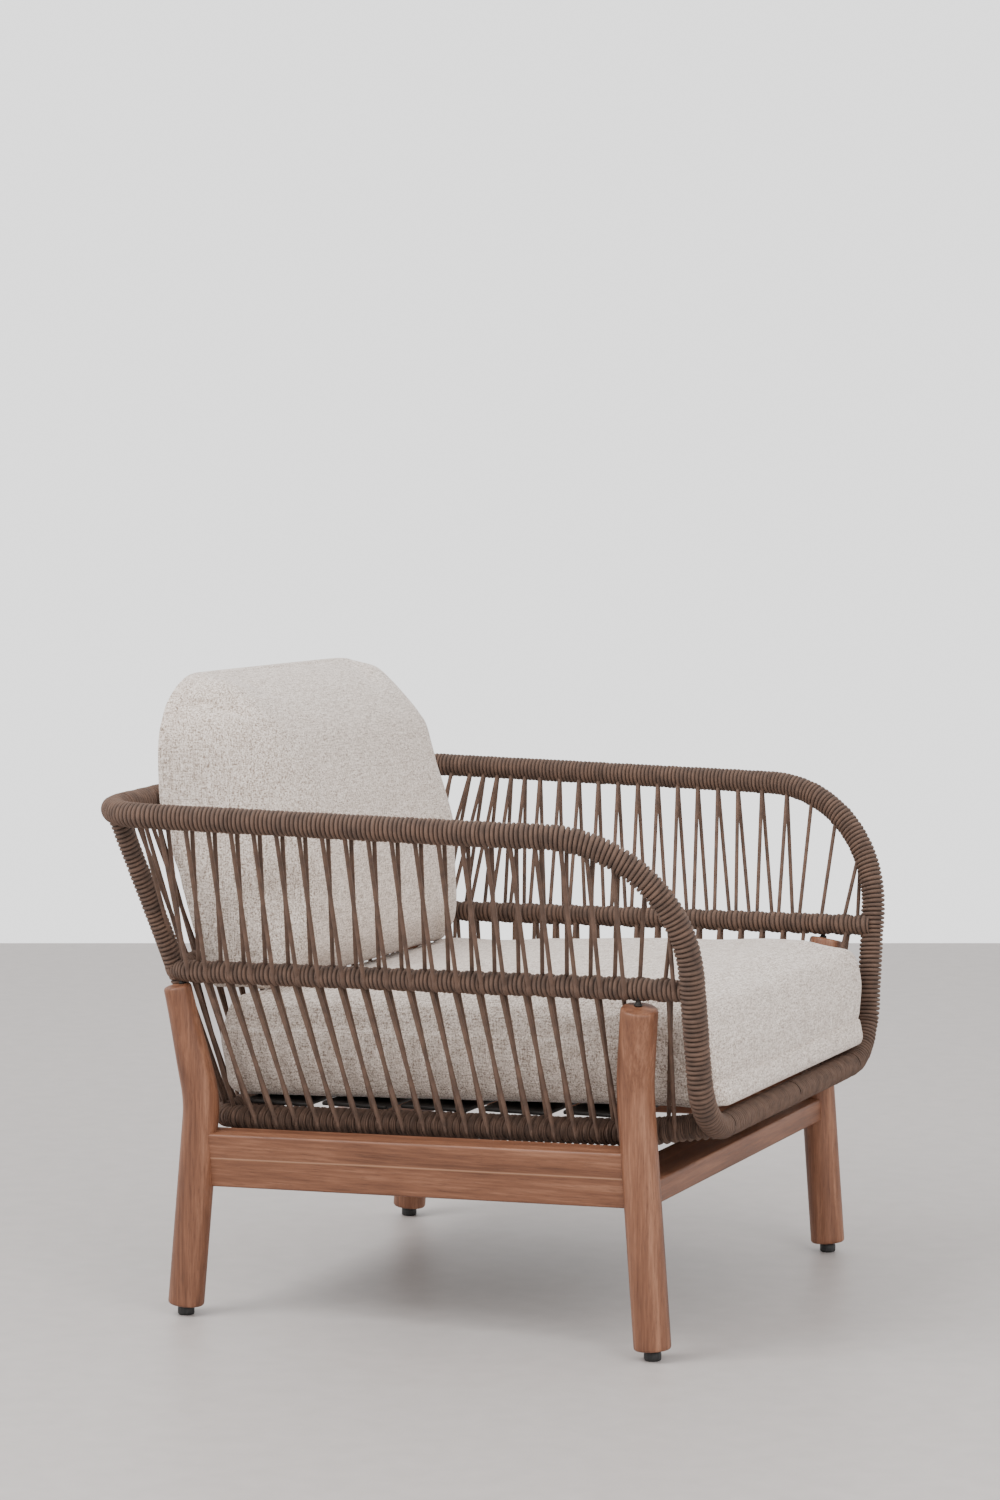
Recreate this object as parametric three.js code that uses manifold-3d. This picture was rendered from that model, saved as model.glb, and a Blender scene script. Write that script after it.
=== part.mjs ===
// Outdoor lounge armchair: a wooden base of four kinked round legs and four rails carries a
// basket of bent metal tube, wrapped and strung with rope, with a loose seat and back cushion.
// Millimetres, +Z up. The floor is z = 0, the sitter faces -Y, and the chair is the same on both
// sides of x = 0. The left half (x > 0) is drawn and mirrored.
import * as THREE from 'three';
import { mergeVertices } from 'three/addons/utils/BufferGeometryUtils.js';
import Module from 'manifold-3d';

const wasm = await Module();
wasm.setup();

// ---------------------------------------------------------------- driving dimensions
const gap = 0.3; // clearance between two pieces that touch
const boreGap = 0.7; // between a tube and the rope wound on it, whose bends have flat facets

// Legs: round bars that splay fore and aft below the knee and lean outwards above it. kneeX and
// kneeY set the chair's width and depth: everything else is placed from the knees.
const legRadius = 21.5;
const kneeX = 318;
const kneeY = 274;
const kneeBend = 160;
const frontLeg = {
  footOut: 0,
  footSplay: 23,
  kneeZ: 309,
  topOut: 18.5,
  topSplay: 12,
  topZ: 400,
  topRadius: legRadius,
  pinInset: 5,
};
const rearLeg = {
  footOut: 2,
  footSplay: 23,
  kneeZ: 259,
  topOut: 19,
  topSplay: 22.5,
  topZ: 396,
  topRadius: 15,
  pinInset: 7,
};
const glideHeight = 12;
const glideRadius = 10;
const glideStemRadius = 4;
const glideStemLength = 18;

// Side rails stand on edge and lean outwards; the front and rear rails lie flat.
const railThickness = 28;
const railDepth = 66;
const railLean = 11; // degrees
const sideRailX = kneeX - 7;
const sideRailFrontZ = 205;
const sideRailRearZ = 190;
const frontRailLetIn = 19; // how far a side rail's front end sits in its leg
const rearRailLetIn = 16;
const frontRailY = kneeY - 15;
const frontRailZ = 186;
const rearRailY = kneeY - 12;
const rearRailZ = 170;
const dowelRadius = 5;
const dowelLength = 34;
const dowelInset = 16; // of a cross rail's dowel from the rail's middle line
const dowelDraw = 7; // of a side rail's dowel, off centre towards its leg
const dowelSides = 8;

// Basket tubes and their rope.
const mainTubeRadius = 10;
const thinTubeRadius = 8;
const wrapThickness = 5;
const thinWrapThickness = 4.5;
const ringWrapThickness = 6;
const mainWrapRadius = mainTubeRadius + wrapThickness;
const midWrapRadius = thinTubeRadius + thinWrapThickness;
const ringWrapRadius = thinTubeRadius + ringWrapThickness;
const midFrontX = kneeX + 8;
const midRearX = kneeX + 16;
const midRearY = kneeY + 42;
const midFrontZ = frontLeg.topZ + 23;
const midRearZ = rearLeg.topZ + 17;
const midBend = 40;
const ringLegClearance = 10.5; // from the ring's rope to the legs it passes between
const ringX = kneeX - legRadius - ringLegClearance - ringWrapRadius;
const ringRearY = kneeY + 7;
const ringRearZ = sideRailRearZ + 41;
const ringFrontZ = sideRailFrontZ + 44;
const ringKickY = kneeY - 12; // the side of the ring turns up to the hoop in front of this
const ringFrontX = ringX - 10;
const ringBend = 40;
const ringKickBend = 120;
const armX = midRearX + 66;
const armZ = midFrontZ + 173;
const hoopTopX = midRearX + 32;
const hoopTopZ = armZ - 2;
const hoopY = kneeY + 72;
const hoopBend = 165;
const armTurnY = hoopY - 196; // where the arm starts to turn in towards the hoop
const armBend = 660;
const backCornerX = midRearX + 84;
const backRailY = kneeY + 93;
const backCornerZ = armZ + 8;
const backCrownZ = armZ + 22;
const backCornerBend = 75;
const frontTubeX = kneeX - 17;
const frontTubeY = hoopY + 4;
const frontTubeZ = ringFrontZ + 9;
const frontTubeBend = 80;
const strandRadius = 2.3;
const strandPitch = 28.5; // between pairs, about
const rearRake = 38; // from the rear corner's bend to the first pair on the arm
const pairSpread = 5; // between the two strands of a pair where they leave the upper rail
const strandOffset = 2.7; // of each strand to its side of the panel, so that a pair can cross
const pinRadius = 3;
const pinSink = 24; // length of pin inside the leg

// Deck slats, laid across the ring.
const slatCount = 5;
const slatWidth = 84;
const slatThickness = 5;
const slatHalfLength = ringX - 4;
const slatFrontY = 66 - kneeY;
const slatRearY = kneeY - 72;

// Seat cushion: its rounded front bears on the hoops, and its back end runs under the back cushion.
const seatTopZ = midFrontZ - 32; // at the middle of the chair
const seatFrontY = frontTubeY + 2;
const seatRearY = ringRearY - 7;
const seatTopHalfWidth = midFrontX - 40;
const seatBottomHalfWidth = ringX - 8;
const seatShoulderZ = seatTopZ - 41;
const seatNose = 46; // radius of its rounded front

// Back cushion: stands on the seat cushion and leans on the back rail.
const backHalfWidth = midRearX - 52;
const backTopZ = backCornerZ + 153;
const backTopRadius = 78;
const backRearY = backRailY - mainWrapRadius - 2;
const backFrontY = backRearY - 154;
const backLean = 18; // degrees, of the upper part of its front
const backBendShare = 0.36; // of its height, where the front starts to lean
const backFootInset = 10; // of its foot, behind the fullest part of the front
const backFootClearance = 16; // from the rope of the middle rail
const backReliefY = 6; // its rear comes this much closer to the rail, and
const backReliefZ = 20; // starts to lean this much above it
const backWaist = 12; // the sides draw in this much at the seat
const backWaistShare = 0.2; // of its height, to where the sides are drawn in
const backShoulder = 62; // from its top to where the front rounds over
const backCrown = 10; // the rounded top falls this much to its front and rear edges
const backThicknessTop = 52;

// Mesh fineness.
const tubeSides = 8;
const legSides = 12;
const strandSides = 3;
const bendSteps = 4;

const wood = { color: 0xa06e52, roughness: 0.5, metalness: 0 };
const darkMetal = { color: 0x2b2725, roughness: 0.45, metalness: 0.6 };
const blackPlastic = { color: 0x161616, roughness: 0.55, metalness: 0 };
const rope = { color: 0x6f574b, roughness: 0.85, metalness: 0 };
const linen = { color: 0xcdc3b7, roughness: 0.95, metalness: 0 };

// ---------------------------------------------------------------- helpers
const vec = (x, y, z) => new THREE.Vector3(x, y, z);
const radians = THREE.MathUtils.degToRad;
const lerp = THREE.MathUtils.lerp;
const group = new THREE.Group();

// A three.js geometry as a solid that can be joined and cut.
function solid(geometry) {
  const bare = geometry.clone();
  bare.deleteAttribute('normal');
  bare.deleteAttribute('uv');
  const merged = mergeVertices(bare, 1e-4);
  const vertProperties = new Float32Array(merged.attributes.position.array);
  const triVerts = new Uint32Array(merged.index.array);
  return new wasm.Manifold(new wasm.Mesh({ numProp: 3, vertProperties, triVerts }));
}

// The solid's mirror image in the plane x = 0.
function mirrored(made) {
  const mesh = made.getMesh();
  const points = new Float32Array(mesh.vertProperties);
  for (let i = 0; i < points.length; i += 3) points[i] = -points[i];
  const faces = new Uint32Array(mesh.triVerts);
  for (let i = 0; i < faces.length; i += 3) {
    const second = faces[i + 1];
    faces[i + 1] = faces[i + 2];
    faces[i + 2] = second;
  }
  return new wasm.Manifold(new wasm.Mesh({ numProp: 3, vertProperties: points, triVerts: faces }));
}

function addPiece(name, made, look) {
  const mesh = made.getMesh();
  const geometry = new THREE.BufferGeometry();
  geometry.setAttribute('position', new THREE.BufferAttribute(new Float32Array(mesh.vertProperties), 3));
  geometry.setIndex(new THREE.BufferAttribute(new Uint32Array(mesh.triVerts), 1));
  geometry.computeVertexNormals();
  const piece = new THREE.Mesh(geometry, new THREE.MeshStandardMaterial(look));
  piece.name = name;
  group.add(piece);
}

// Adds the left piece as drawn, and its mirror image as the right one.
function addPair(name, made, look) {
  addPiece(`${name}_left`, made, look);
  addPiece(`${name}_right`, mirrored(made), look);
}

const joined = (solids) => solids.reduce((whole, next) => whole.add(next));
const cutBy = (made, cutters) => cutters.reduce((left, cutter) => left.subtract(cutter), made);
// A cut that grazes a facet can leave a loose crumb: this keeps the body itself.
const withoutCrumbs = (made) => made.decompose().sort((a, b) => b.volume() - a.volume())[0];

// A path through given stations, each with its own tangent, for ExtrudeGeometry to follow.
class StationPath extends THREE.Curve {
  constructor(stations) {
    super();
    this.stations = stations;
  }
  getSpacedPoints() {
    return this.stations.map((station) => station.point);
  }
  getTangentAt(share, target = new THREE.Vector3()) {
    return target.copy(this.stations[Math.round(share * (this.stations.length - 1))].tangent);
  }
}

// Stations along straight stretches joined by round bends. bends[i] is the radius at corners[i + 1].
function bentPath(corners, bends, steps = bendSteps) {
  const stations = [];
  const marks = [];
  const add = (point, tangent) => stations.push({ point, tangent });
  add(corners[0], corners[1].clone().sub(corners[0]).normalize());
  for (let i = 1; i < corners.length - 1; i++) {
    const into = corners[i].clone().sub(corners[i - 1]).normalize();
    const out = corners[i + 1].clone().sub(corners[i]).normalize();
    const turn = into.angleTo(out);
    const reach = bends[i - 1] * Math.tan(turn / 2);
    const start = corners[i].clone().addScaledVector(into, -reach);
    const inward = out.clone().addScaledVector(into, -Math.cos(turn)).normalize();
    const centre = start.clone().addScaledVector(inward, bends[i - 1]);
    const first = stations.length;
    for (let k = 0; k <= steps; k++) {
      const angle = (turn * k) / steps;
      const tangent = into.clone().multiplyScalar(Math.cos(angle)).addScaledVector(inward, Math.sin(angle));
      const spoke = inward.clone().multiplyScalar(-Math.cos(angle)).addScaledVector(into, Math.sin(angle));
      add(centre.clone().addScaledVector(spoke, bends[i - 1]), tangent);
    }
    marks.push({ first, last: stations.length - 1 });
  }
  const last = corners.length - 1;
  add(corners[last], corners[last].clone().sub(corners[last - 1]).normalize());
  return { stations, marks };
}

// The same stretch with both ends drawn back by trim.
function trimmed(stations, trim) {
  const ends = stations.map((station) => ({ point: station.point.clone(), tangent: station.tangent }));
  ends[0].point.addScaledVector(ends[0].tangent, trim);
  ends.at(-1).point.addScaledVector(ends.at(-1).tangent, -trim);
  return ends;
}

// A stretch that starts at x = 0, continued over to the other side.
function acrossMiddle(half) {
  const other = half.slice(1).reverse().map(({ point, tangent }) => ({
    point: vec(-point.x, point.y, point.z),
    tangent: vec(tangent.x, -tangent.y, -tangent.z),
  }));
  const middle = { point: half[0].point, tangent: vec(1, 0, 0) };
  return [...other, middle, ...half.slice(1)];
}

function polygon(radius, sides, target) {
  for (let i = 0; i < sides; i++) {
    const angle = (2 * Math.PI * (i + 0.5)) / sides;
    const corner = [radius * Math.cos(angle), radius * Math.sin(angle)];
    if (i === 0) target.moveTo(...corner);
    else target.lineTo(...corner);
  }
  target.closePath();
  return target;
}

// A round bar, or with a bore a sleeve, along stations.
function sweep(stations, radius, bore = 0, sides = tubeSides) {
  const section = polygon(radius, sides, new THREE.Shape());
  if (bore > 0) section.holes.push(polygon(bore, sides, new THREE.Path()));
  const extrudePath = new StationPath(stations);
  const settings = { steps: stations.length - 1, bevelEnabled: false, extrudePath };
  return solid(new THREE.ExtrudeGeometry(section, settings));
}

// A straight round bar from one point to another.
function bar(from, to, radius, sides) {
  const along = to.clone().sub(from);
  const geometry = new THREE.CylinderGeometry(radius, radius, along.length(), sides);
  const turn = new THREE.Quaternion().setFromUnitVectors(vec(0, 1, 0), along.clone().normalize());
  geometry.applyQuaternion(turn);
  const middle = from.clone().add(to).multiplyScalar(0.5);
  geometry.translate(middle.x, middle.y, middle.z);
  return solid(geometry);
}

// The point of a chain of stations where one coordinate has a given value.
function pointWhere(stations, coordinate, value) {
  for (let i = 1; i < stations.length; i++) {
    const a = stations[i - 1].point;
    const b = stations[i].point;
    if ((a[coordinate] - value) * (b[coordinate] - value) <= 0 && a[coordinate] !== b[coordinate]) {
      return a.clone().lerp(b, (value - a[coordinate]) / (b[coordinate] - a[coordinate]));
    }
  }
  const ends = [stations[0].point, stations.at(-1).point];
  const distance = (point) => Math.abs(point[coordinate] - value);
  return ends.sort((a, b) => distance(a) - distance(b))[0].clone();
}

// Smallest distance between two straight stretches, to about a millimetre.
function distanceBetween(from, to, axisFrom, axisTo) {
  const samples = 40;
  const axis = new THREE.Line3(axisFrom, axisTo);
  const nearest = new THREE.Vector3();
  let least = Infinity;
  for (let i = 0; i <= samples; i++) {
    const point = from.clone().lerp(to, i / samples);
    axis.closestPointToPoint(point, true, nearest);
    least = Math.min(least, nearest.distanceTo(point));
  }
  return least;
}

// ---------------------------------------------------------------- base: legs, rails, glides, dowels
// facing is -1 for a front leg and 1 for a rear one.
function legPath(leg, facing) {
  const foot = vec(kneeX + leg.footOut, facing * (kneeY + leg.footSplay), 0);
  const knee = vec(kneeX, facing * kneeY, leg.kneeZ);
  const top = vec(kneeX + leg.topOut, facing * (kneeY + leg.topSplay), leg.topZ);
  return bentPath([foot, knee, top], [kneeBend], 3);
}

function legBar(leg, facing) {
  const { stations, marks } = legPath(leg, facing);
  const section = polygon(legRadius, legSides, new THREE.Shape());
  const extrudePath = new StationPath(stations);
  const settings = { steps: stations.length - 1, bevelEnabled: false, extrudePath };
  const geometry = new THREE.ExtrudeGeometry(section, settings);
  const bendEnd = stations[marks[0].last].point;
  const top = stations.at(-1).point;
  const upper = new THREE.Line3(bendEnd, top);
  const point = new THREE.Vector3();
  const onAxis = new THREE.Vector3();
  const position = geometry.attributes.position;
  for (let i = 0; i < position.count; i++) {
    point.fromBufferAttribute(position, i);
    const share = THREE.MathUtils.clamp(upper.closestPointToPointParameter(point, false), 0, 1);
    if (share > 0) {
      upper.at(share, onAxis);
      point.sub(onAxis).multiplyScalar(lerp(1, leg.topRadius / legRadius, share)).add(onAxis);
      position.setXYZ(i, point.x, point.y, point.z);
    }
  }
  const below = new THREE.BoxGeometry(6 * legRadius, 6 * legRadius, 2 * glideHeight);
  below.translate(stations[0].point.x, stations[0].point.y, 0);
  return solid(geometry).subtract(solid(below));
}

function legAxisAt(leg, facing, height) {
  return pointWhere(legPath(leg, facing).stations, 'z', height);
}

// A side rail's block, grown by margin on its sides and ends so that it can also cut its housings.
function sideRailBlock(margin) {
  const frontEnd = -kneeY + legRadius - frontRailLetIn;
  const rearEnd = kneeY - legRadius + rearRailLetIn;
  const length = rearEnd - frontEnd + 2 * margin;
  const geometry = new THREE.BoxGeometry(railThickness + 2 * margin, length, railDepth + 2 * margin);
  geometry.rotateY(radians(railLean));
  geometry.rotateX(-Math.atan2(sideRailFrontZ - sideRailRearZ, rearEnd - frontEnd));
  geometry.translate(sideRailX, (frontEnd + rearEnd) / 2, (sideRailFrontZ + sideRailRearZ) / 2);
  return solid(geometry);
}

// The front or rear rail, laid flat between the side rails.
function crossRailBlock(y, z, margin) {
  const length = 2 * (sideRailX + railThickness);
  const geometry = new THREE.BoxGeometry(length, railDepth + 2 * margin, railThickness + 2 * margin);
  geometry.translate(0, y, z);
  const inside = new THREE.BoxGeometry(2 * (sideRailX + margin), 2 * railDepth, 2 * railDepth);
  inside.translate(0, y, z);
  return solid(geometry).intersect(solid(inside));
}

const frontRail = crossRailBlock(-frontRailY, frontRailZ, 0);
const rearRail = crossRailBlock(rearRailY, rearRailZ, 0);
const sideRailHousing = sideRailBlock(gap);
const crossRailHousings = [
  crossRailBlock(-frontRailY, frontRailZ, gap),
  crossRailBlock(rearRailY, rearRailZ, gap),
];

// A dowel runs along direction through the joint at its middle.
function dowelBar(middle, direction, radius, length) {
  const half = direction.clone().multiplyScalar(length / 2);
  return bar(middle.clone().sub(half), middle.clone().add(half), radius, dowelSides);
}

const sideDowelY = kneeY - legRadius + dowelLength / 2 - dowelDraw;
const sideDowels = [
  { name: 'dowel_side_rail_front', middle: vec(sideRailX, -sideDowelY, sideRailFrontZ) },
  { name: 'dowel_side_rail_rear', middle: vec(sideRailX, sideDowelY, sideRailRearZ) },
].map((dowel) => ({ ...dowel, direction: vec(0, 1, 0) }));
const crossDowelX = sideRailX - railThickness / 2;
const crossDowels = [
  { name: 'dowel_front_rail', middle: vec(crossDowelX, -frontRailY + dowelInset, frontRailZ) },
  { name: 'dowel_rear_rail', middle: vec(crossDowelX, rearRailY - dowelInset, rearRailZ) },
].map((dowel) => ({ ...dowel, direction: vec(1, 0, 0) }));
const dowels = [...sideDowels, ...crossDowels];
const dowelBores = dowels.map(({ middle, direction }) =>
  dowelBar(middle, direction, dowelRadius + gap, dowelLength + 2 * gap),
);

// ---------------------------------------------------------------- basket paths
const topPath = bentPath(
  [
    vec(0, backRailY, backCrownZ),
    vec(backCornerX, backRailY, backCornerZ),
    vec(armX, -armTurnY, armZ),
    vec(hoopTopX, -hoopY, hoopTopZ),
    vec(frontTubeX, -frontTubeY, frontTubeZ),
    vec(0, -frontTubeY, frontTubeZ),
  ],
  [backCornerBend, armBend, hoopBend, frontTubeBend],
);
const backStretch = acrossMiddle(topPath.stations.slice(0, topPath.marks[0].first + 1));
const armStretch = topPath.stations.slice(topPath.marks[0].first, topPath.marks[3].last + 1);
const frontHalf = topPath.stations.slice(topPath.marks[3].last).reverse();
const frontStretch = acrossMiddle(
  frontHalf.map(({ point, tangent }) => ({ point, tangent: tangent.clone().negate() })),
);
const hoopUpper = topPath.stations.slice(0, topPath.marks[2].last + 1);

const hoopMid = pointWhere(topPath.stations.slice(topPath.marks[2].last), 'z', midFrontZ);
const midPath = bentPath(
  [vec(0, midRearY, midRearZ), vec(midRearX, midRearY, midRearZ), vec(midFrontX, hoopMid.y, midFrontZ)],
  [midBend],
);
const hoopFoot = pointWhere(topPath.stations.slice(topPath.marks[3].first), 'x', ringFrontX);
const ringPath = bentPath(
  [
    vec(0, ringRearY, ringRearZ),
    vec(ringX, ringRearY, ringRearZ),
    vec(ringX, -ringKickY, ringFrontZ),
    vec(ringFrontX, -frontTubeY, hoopFoot.z),
  ],
  [ringBend, ringKickBend],
);
const sideFrom = (path) => path.stations.slice(path.marks[0].last);
const backOf = (path) => acrossMiddle(path.stations.slice(0, path.marks[0].first + 1));
const cornerOf = (path) => path.stations.slice(path.marks[0].first, path.marks[0].last + 1);

const middleOf = (stations) => {
  const half = (stations.length - 1) / 2;
  return stations[Math.floor(half)].point.clone().lerp(stations[Math.ceil(half)].point, 0.5);
};
const postTop = middleOf(cornerOf(topPath));
const postFoot = middleOf(cornerOf(midPath));
const postTangent = postFoot.clone().sub(postTop).normalize();
const postStations = [postTop, postFoot].map((point) => ({ point, tangent: postTangent }));

// ---------------------------------------------------------------- pins from the leg tops to the mid rail
const pins = [
  { name: 'leg_pin_front', leg: frontLeg, facing: -1 },
  { name: 'leg_pin_rear', leg: rearLeg, facing: 1 },
].map(({ name, leg, facing }) => {
  const axis = legAxisAt(leg, facing, leg.topZ - pinSink);
  const foot = vec(kneeX + leg.topOut - leg.pinInset, axis.y, leg.topZ - pinSink);
  const railZ = pointWhere(midPath.stations, 'y', foot.y).z;
  return { name, foot, top: foot.clone().setZ(railZ - thinTubeRadius - gap) };
});
const pinHoles = pins.map(({ foot, top }) =>
  bar(foot.clone().setZ(foot.z - gap), top.clone().setZ(top.z + gap), pinRadius + gap, 8),
);

const legs = [
  { name: 'leg_front', leg: frontLeg, facing: -1 },
  { name: 'leg_rear', leg: rearLeg, facing: 1 },
];
for (const { name, leg, facing } of legs) {
  const foot = legAxisAt(leg, facing, glideHeight);
  const stemTop = vec(foot.x, foot.y, glideHeight + glideStemLength);
  const stemHole = bar(vec(foot.x, foot.y, 0), stemTop, glideStemRadius + gap, 8);
  const cutters = [sideRailHousing, ...crossRailHousings, ...dowelBores, ...pinHoles, stemHole];
  addPair(name, cutBy(legBar(leg, facing), cutters), wood);
  const disc = bar(vec(foot.x, foot.y, 0), vec(foot.x, foot.y, glideHeight - gap), glideRadius, 12);
  const stem = bar(vec(foot.x, foot.y, 1), stemTop.clone().setZ(stemTop.z - gap), glideStemRadius, 8);
  addPair(name.replace('leg', 'glide'), disc.add(stem), blackPlastic);
}
for (const { name, foot, top } of pins) addPair(name, bar(foot, top, pinRadius, 8), darkMetal);
addPair('side_rail', cutBy(sideRailBlock(0), dowelBores), wood);
const bothSides = (solids) => [...solids, ...solids.map(mirrored)];
const crossRailCutters = bothSides([sideRailHousing, ...dowelBores]);
addPiece('front_rail', cutBy(frontRail, crossRailCutters), wood);
addPiece('rear_rail', cutBy(rearRail, crossRailCutters), wood);
for (const { name, middle, direction } of dowels) {
  addPair(name, dowelBar(middle, direction, dowelRadius, dowelLength), wood);
}

// ---------------------------------------------------------------- basket tubes
const mainTubeSpace = sweep(armStretch, mainTubeRadius + gap);
const postSpace = sweep(postStations, thinTubeRadius + gap);
const midTubeSpace = sweep(midPath.stations, thinTubeRadius + gap);
const ringTubeSpace = sweep(ringPath.stations, thinTubeRadius + gap);
const halfGap = gap / 2;

addPair('arm_tube', sweep(trimmed(armStretch, halfGap), mainTubeRadius), darkMetal);
addPiece('back_top_tube', sweep(trimmed(backStretch, halfGap), mainTubeRadius), darkMetal);
addPiece('front_tube', sweep(trimmed(frontStretch, halfGap), mainTubeRadius), darkMetal);
const sideTubes = [
  { name: 'mid_tube', path: midPath },
  { name: 'ring_tube', path: ringPath },
];
for (const { name, path } of sideTubes) {
  const side = path.stations.slice(path.marks[0].first);
  addPair(name, sweep(trimmed(side, halfGap), thinTubeRadius).subtract(mainTubeSpace), darkMetal);
  addPiece(`${name}_back`, sweep(trimmed(backOf(path), halfGap), thinTubeRadius), darkMetal);
}
const postTube = sweep(postStations, thinTubeRadius);
addPair('corner_post', cutBy(postTube, [mainTubeSpace, midTubeSpace]), darkMetal);

// ---------------------------------------------------------------- rope
// Rope wound round the main tube, open where the thinner tubes come through to be welded.
const thinTubeSpaces = [midTubeSpace, ringTubeSpace, postSpace];
const mainBore = mainTubeRadius + boreGap;
const thinBore = thinTubeRadius + boreGap;
const armWrap = sweep(trimmed(armStretch, halfGap), mainWrapRadius, mainBore);
addPair('wrap_arm', cutBy(armWrap, thinTubeSpaces), rope);
addPiece('wrap_back_top', sweep(trimmed(backStretch, halfGap), mainWrapRadius, mainBore), rope);
const frontWrap = sweep(trimmed(frontStretch, halfGap), mainWrapRadius, mainBore);
addPiece('wrap_front', frontWrap, rope);

const armSpace = sweep(armStretch, mainWrapRadius + gap);
const frontSpace = sweep(frontStretch, mainWrapRadius + gap);
const backSpace = sweep(backStretch, mainWrapRadius + gap);
const midSpace = sweep(midPath.stations, midWrapRadius + gap);
const midBackSpace = sweep(backOf(midPath), midWrapRadius + gap);
const midCornerSpace = sweep(cornerOf(midPath), midWrapRadius + gap);
const ringCornerSpace = sweep(cornerOf(ringPath), ringWrapRadius + gap);

const postWrap = sweep(postStations, midWrapRadius, thinBore);
addPair('wrap_corner_post', cutBy(postWrap, [armSpace, backSpace, midSpace, midBackSpace]), rope);

// True where a strand passes clear of the legs and the pins.
function clearOfLegs(from, to) {
  const room = strandRadius + gap;
  const nearLeg = legs.some(({ leg, facing }) => {
    const { stations } = legPath(leg, facing);
    return stations.slice(1).some((station, i) => {
      const reach = station.point.z > leg.kneeZ + kneeBend / 2 ? leg.topRadius : legRadius;
      return distanceBetween(from, to, stations[i].point, station.point) < reach + room;
    });
  });
  const nearPin = pins.some(({ foot, top }) => distanceBetween(from, to, foot, top) < pinRadius + room);
  return !nearLeg && !nearPin;
}

// Pairs of strands strung from an upper rail to a lower one. upperAt and lowerAt give the point of
// each rail at a share of the panel's length, spread along it by so many millimetres.
function strandPairs({ count, upperAt, lowerAt, outward, lowerWall }) {
  const strands = [];
  for (let i = 0; i < count; i++) {
    const share = (i + 0.5) / count;
    for (const side of [-1, 1]) {
      const from = upperAt(share, (side * pairSpread) / 2);
      const to = lowerAt(share, (-side * strandPitch) / 4);
      const shift = outward.clone().multiplyScalar(side * strandOffset);
      const along = to.clone().sub(from).normalize();
      const start = from.add(shift);
      const end = to.addScaledVector(along, -lowerWall).add(shift);
      const mirroredStart = start.clone().setX(Math.abs(start.x));
      const mirroredEnd = end.clone().setX(Math.abs(end.x));
      if (clearOfLegs(mirroredStart, mirroredEnd)) strands.push(bar(start, end, strandRadius, strandSides));
    }
  }
  return strands;
}

// Side panels: the sleeve of the lower rail with the strands that rise from it, one closed body.
const midWall = (thinBore + midWrapRadius) / 2;
const ringWall = (thinBore + ringWrapRadius) / 2;
const panelFrontY = -hoopMid.y - mainWrapRadius;
const sideSpan = (path) => path.stations[path.marks[0].last].point.y;
const sideCount = Math.round((sideSpan(midPath) + panelFrontY) / strandPitch);
const sideAt = (stations, frontY, rearY) => (share, spread) =>
  pointWhere(stations, 'y', lerp(rearY, frontY, share) + spread);
const sideOutward = vec(1, 0, 0);

const upperStrands = strandPairs({
  count: sideCount,
  upperAt: sideAt(hoopUpper, -panelFrontY - mainTubeRadius, backRailY - backCornerBend - rearRake),
  lowerAt: sideAt(sideFrom(midPath), -panelFrontY, sideSpan(midPath)),
  outward: sideOutward,
  lowerWall: midWall,
});
const lowerStrands = strandPairs({
  count: sideCount,
  upperAt: sideAt(sideFrom(midPath), -panelFrontY, sideSpan(midPath)),
  lowerAt: sideAt(sideFrom(ringPath), -panelFrontY, sideSpan(ringPath)),
  outward: sideOutward,
  lowerWall: ringWall,
});
const midSleeve = sweep(trimmed(sideFrom(midPath), halfGap), midWrapRadius, thinBore);
const ringSleeve = sweep(trimmed(sideFrom(ringPath), halfGap), ringWrapRadius, thinBore);
const sideUpper = withoutCrumbs(
  cutBy(joined([cutBy(midSleeve, pinHoles), ...upperStrands]), [armSpace, midCornerSpace]),
);
const sideLower = withoutCrumbs(
  cutBy(joined([ringSleeve, ...lowerStrands]), [midSpace, armSpace, frontSpace, ringCornerSpace]),
);
addPair('rope_side_upper', sideUpper, rope);
addPair('rope_side_lower', sideLower, rope);

// Back panels, right across.
const halfOf = (path) => path.stations[path.marks[0].first].point.x;
const backCount = Math.round((2 * halfOf(midPath)) / strandPitch);
const backAt = (stations, half) => (share, spread) =>
  pointWhere(stations, 'x', lerp(-half, half, share) + spread);
const backOutward = vec(0, 1, 0);
const backUpperStrands = strandPairs({
  count: backCount,
  upperAt: backAt(backStretch, halfOf(topPath)),
  lowerAt: backAt(backOf(midPath), halfOf(midPath)),
  outward: backOutward,
  lowerWall: midWall,
});
const backLowerStrands = strandPairs({
  count: backCount,
  upperAt: backAt(backOf(midPath), halfOf(midPath)),
  lowerAt: backAt(backOf(ringPath), halfOf(ringPath)),
  outward: backOutward,
  lowerWall: ringWall,
});
const midBackSleeve = sweep(trimmed(backOf(midPath), halfGap), midWrapRadius, thinBore);
const ringBackSleeve = sweep(trimmed(backOf(ringPath), halfGap), ringWrapRadius, thinBore);
const midCornerSpaces = [midCornerSpace, mirrored(midCornerSpace)];
const ringCornerSpaces = [ringCornerSpace, mirrored(ringCornerSpace)];
const backUpper = cutBy(joined([midBackSleeve, ...backUpperStrands]), [backSpace, ...midCornerSpaces]);
const backLower = cutBy(joined([ringBackSleeve, ...backLowerStrands]), [midBackSpace, ...ringCornerSpaces]);
addPiece('rope_back_upper', withoutCrumbs(backUpper), rope);
addPiece('rope_back_lower', withoutCrumbs(backLower), rope);

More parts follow.
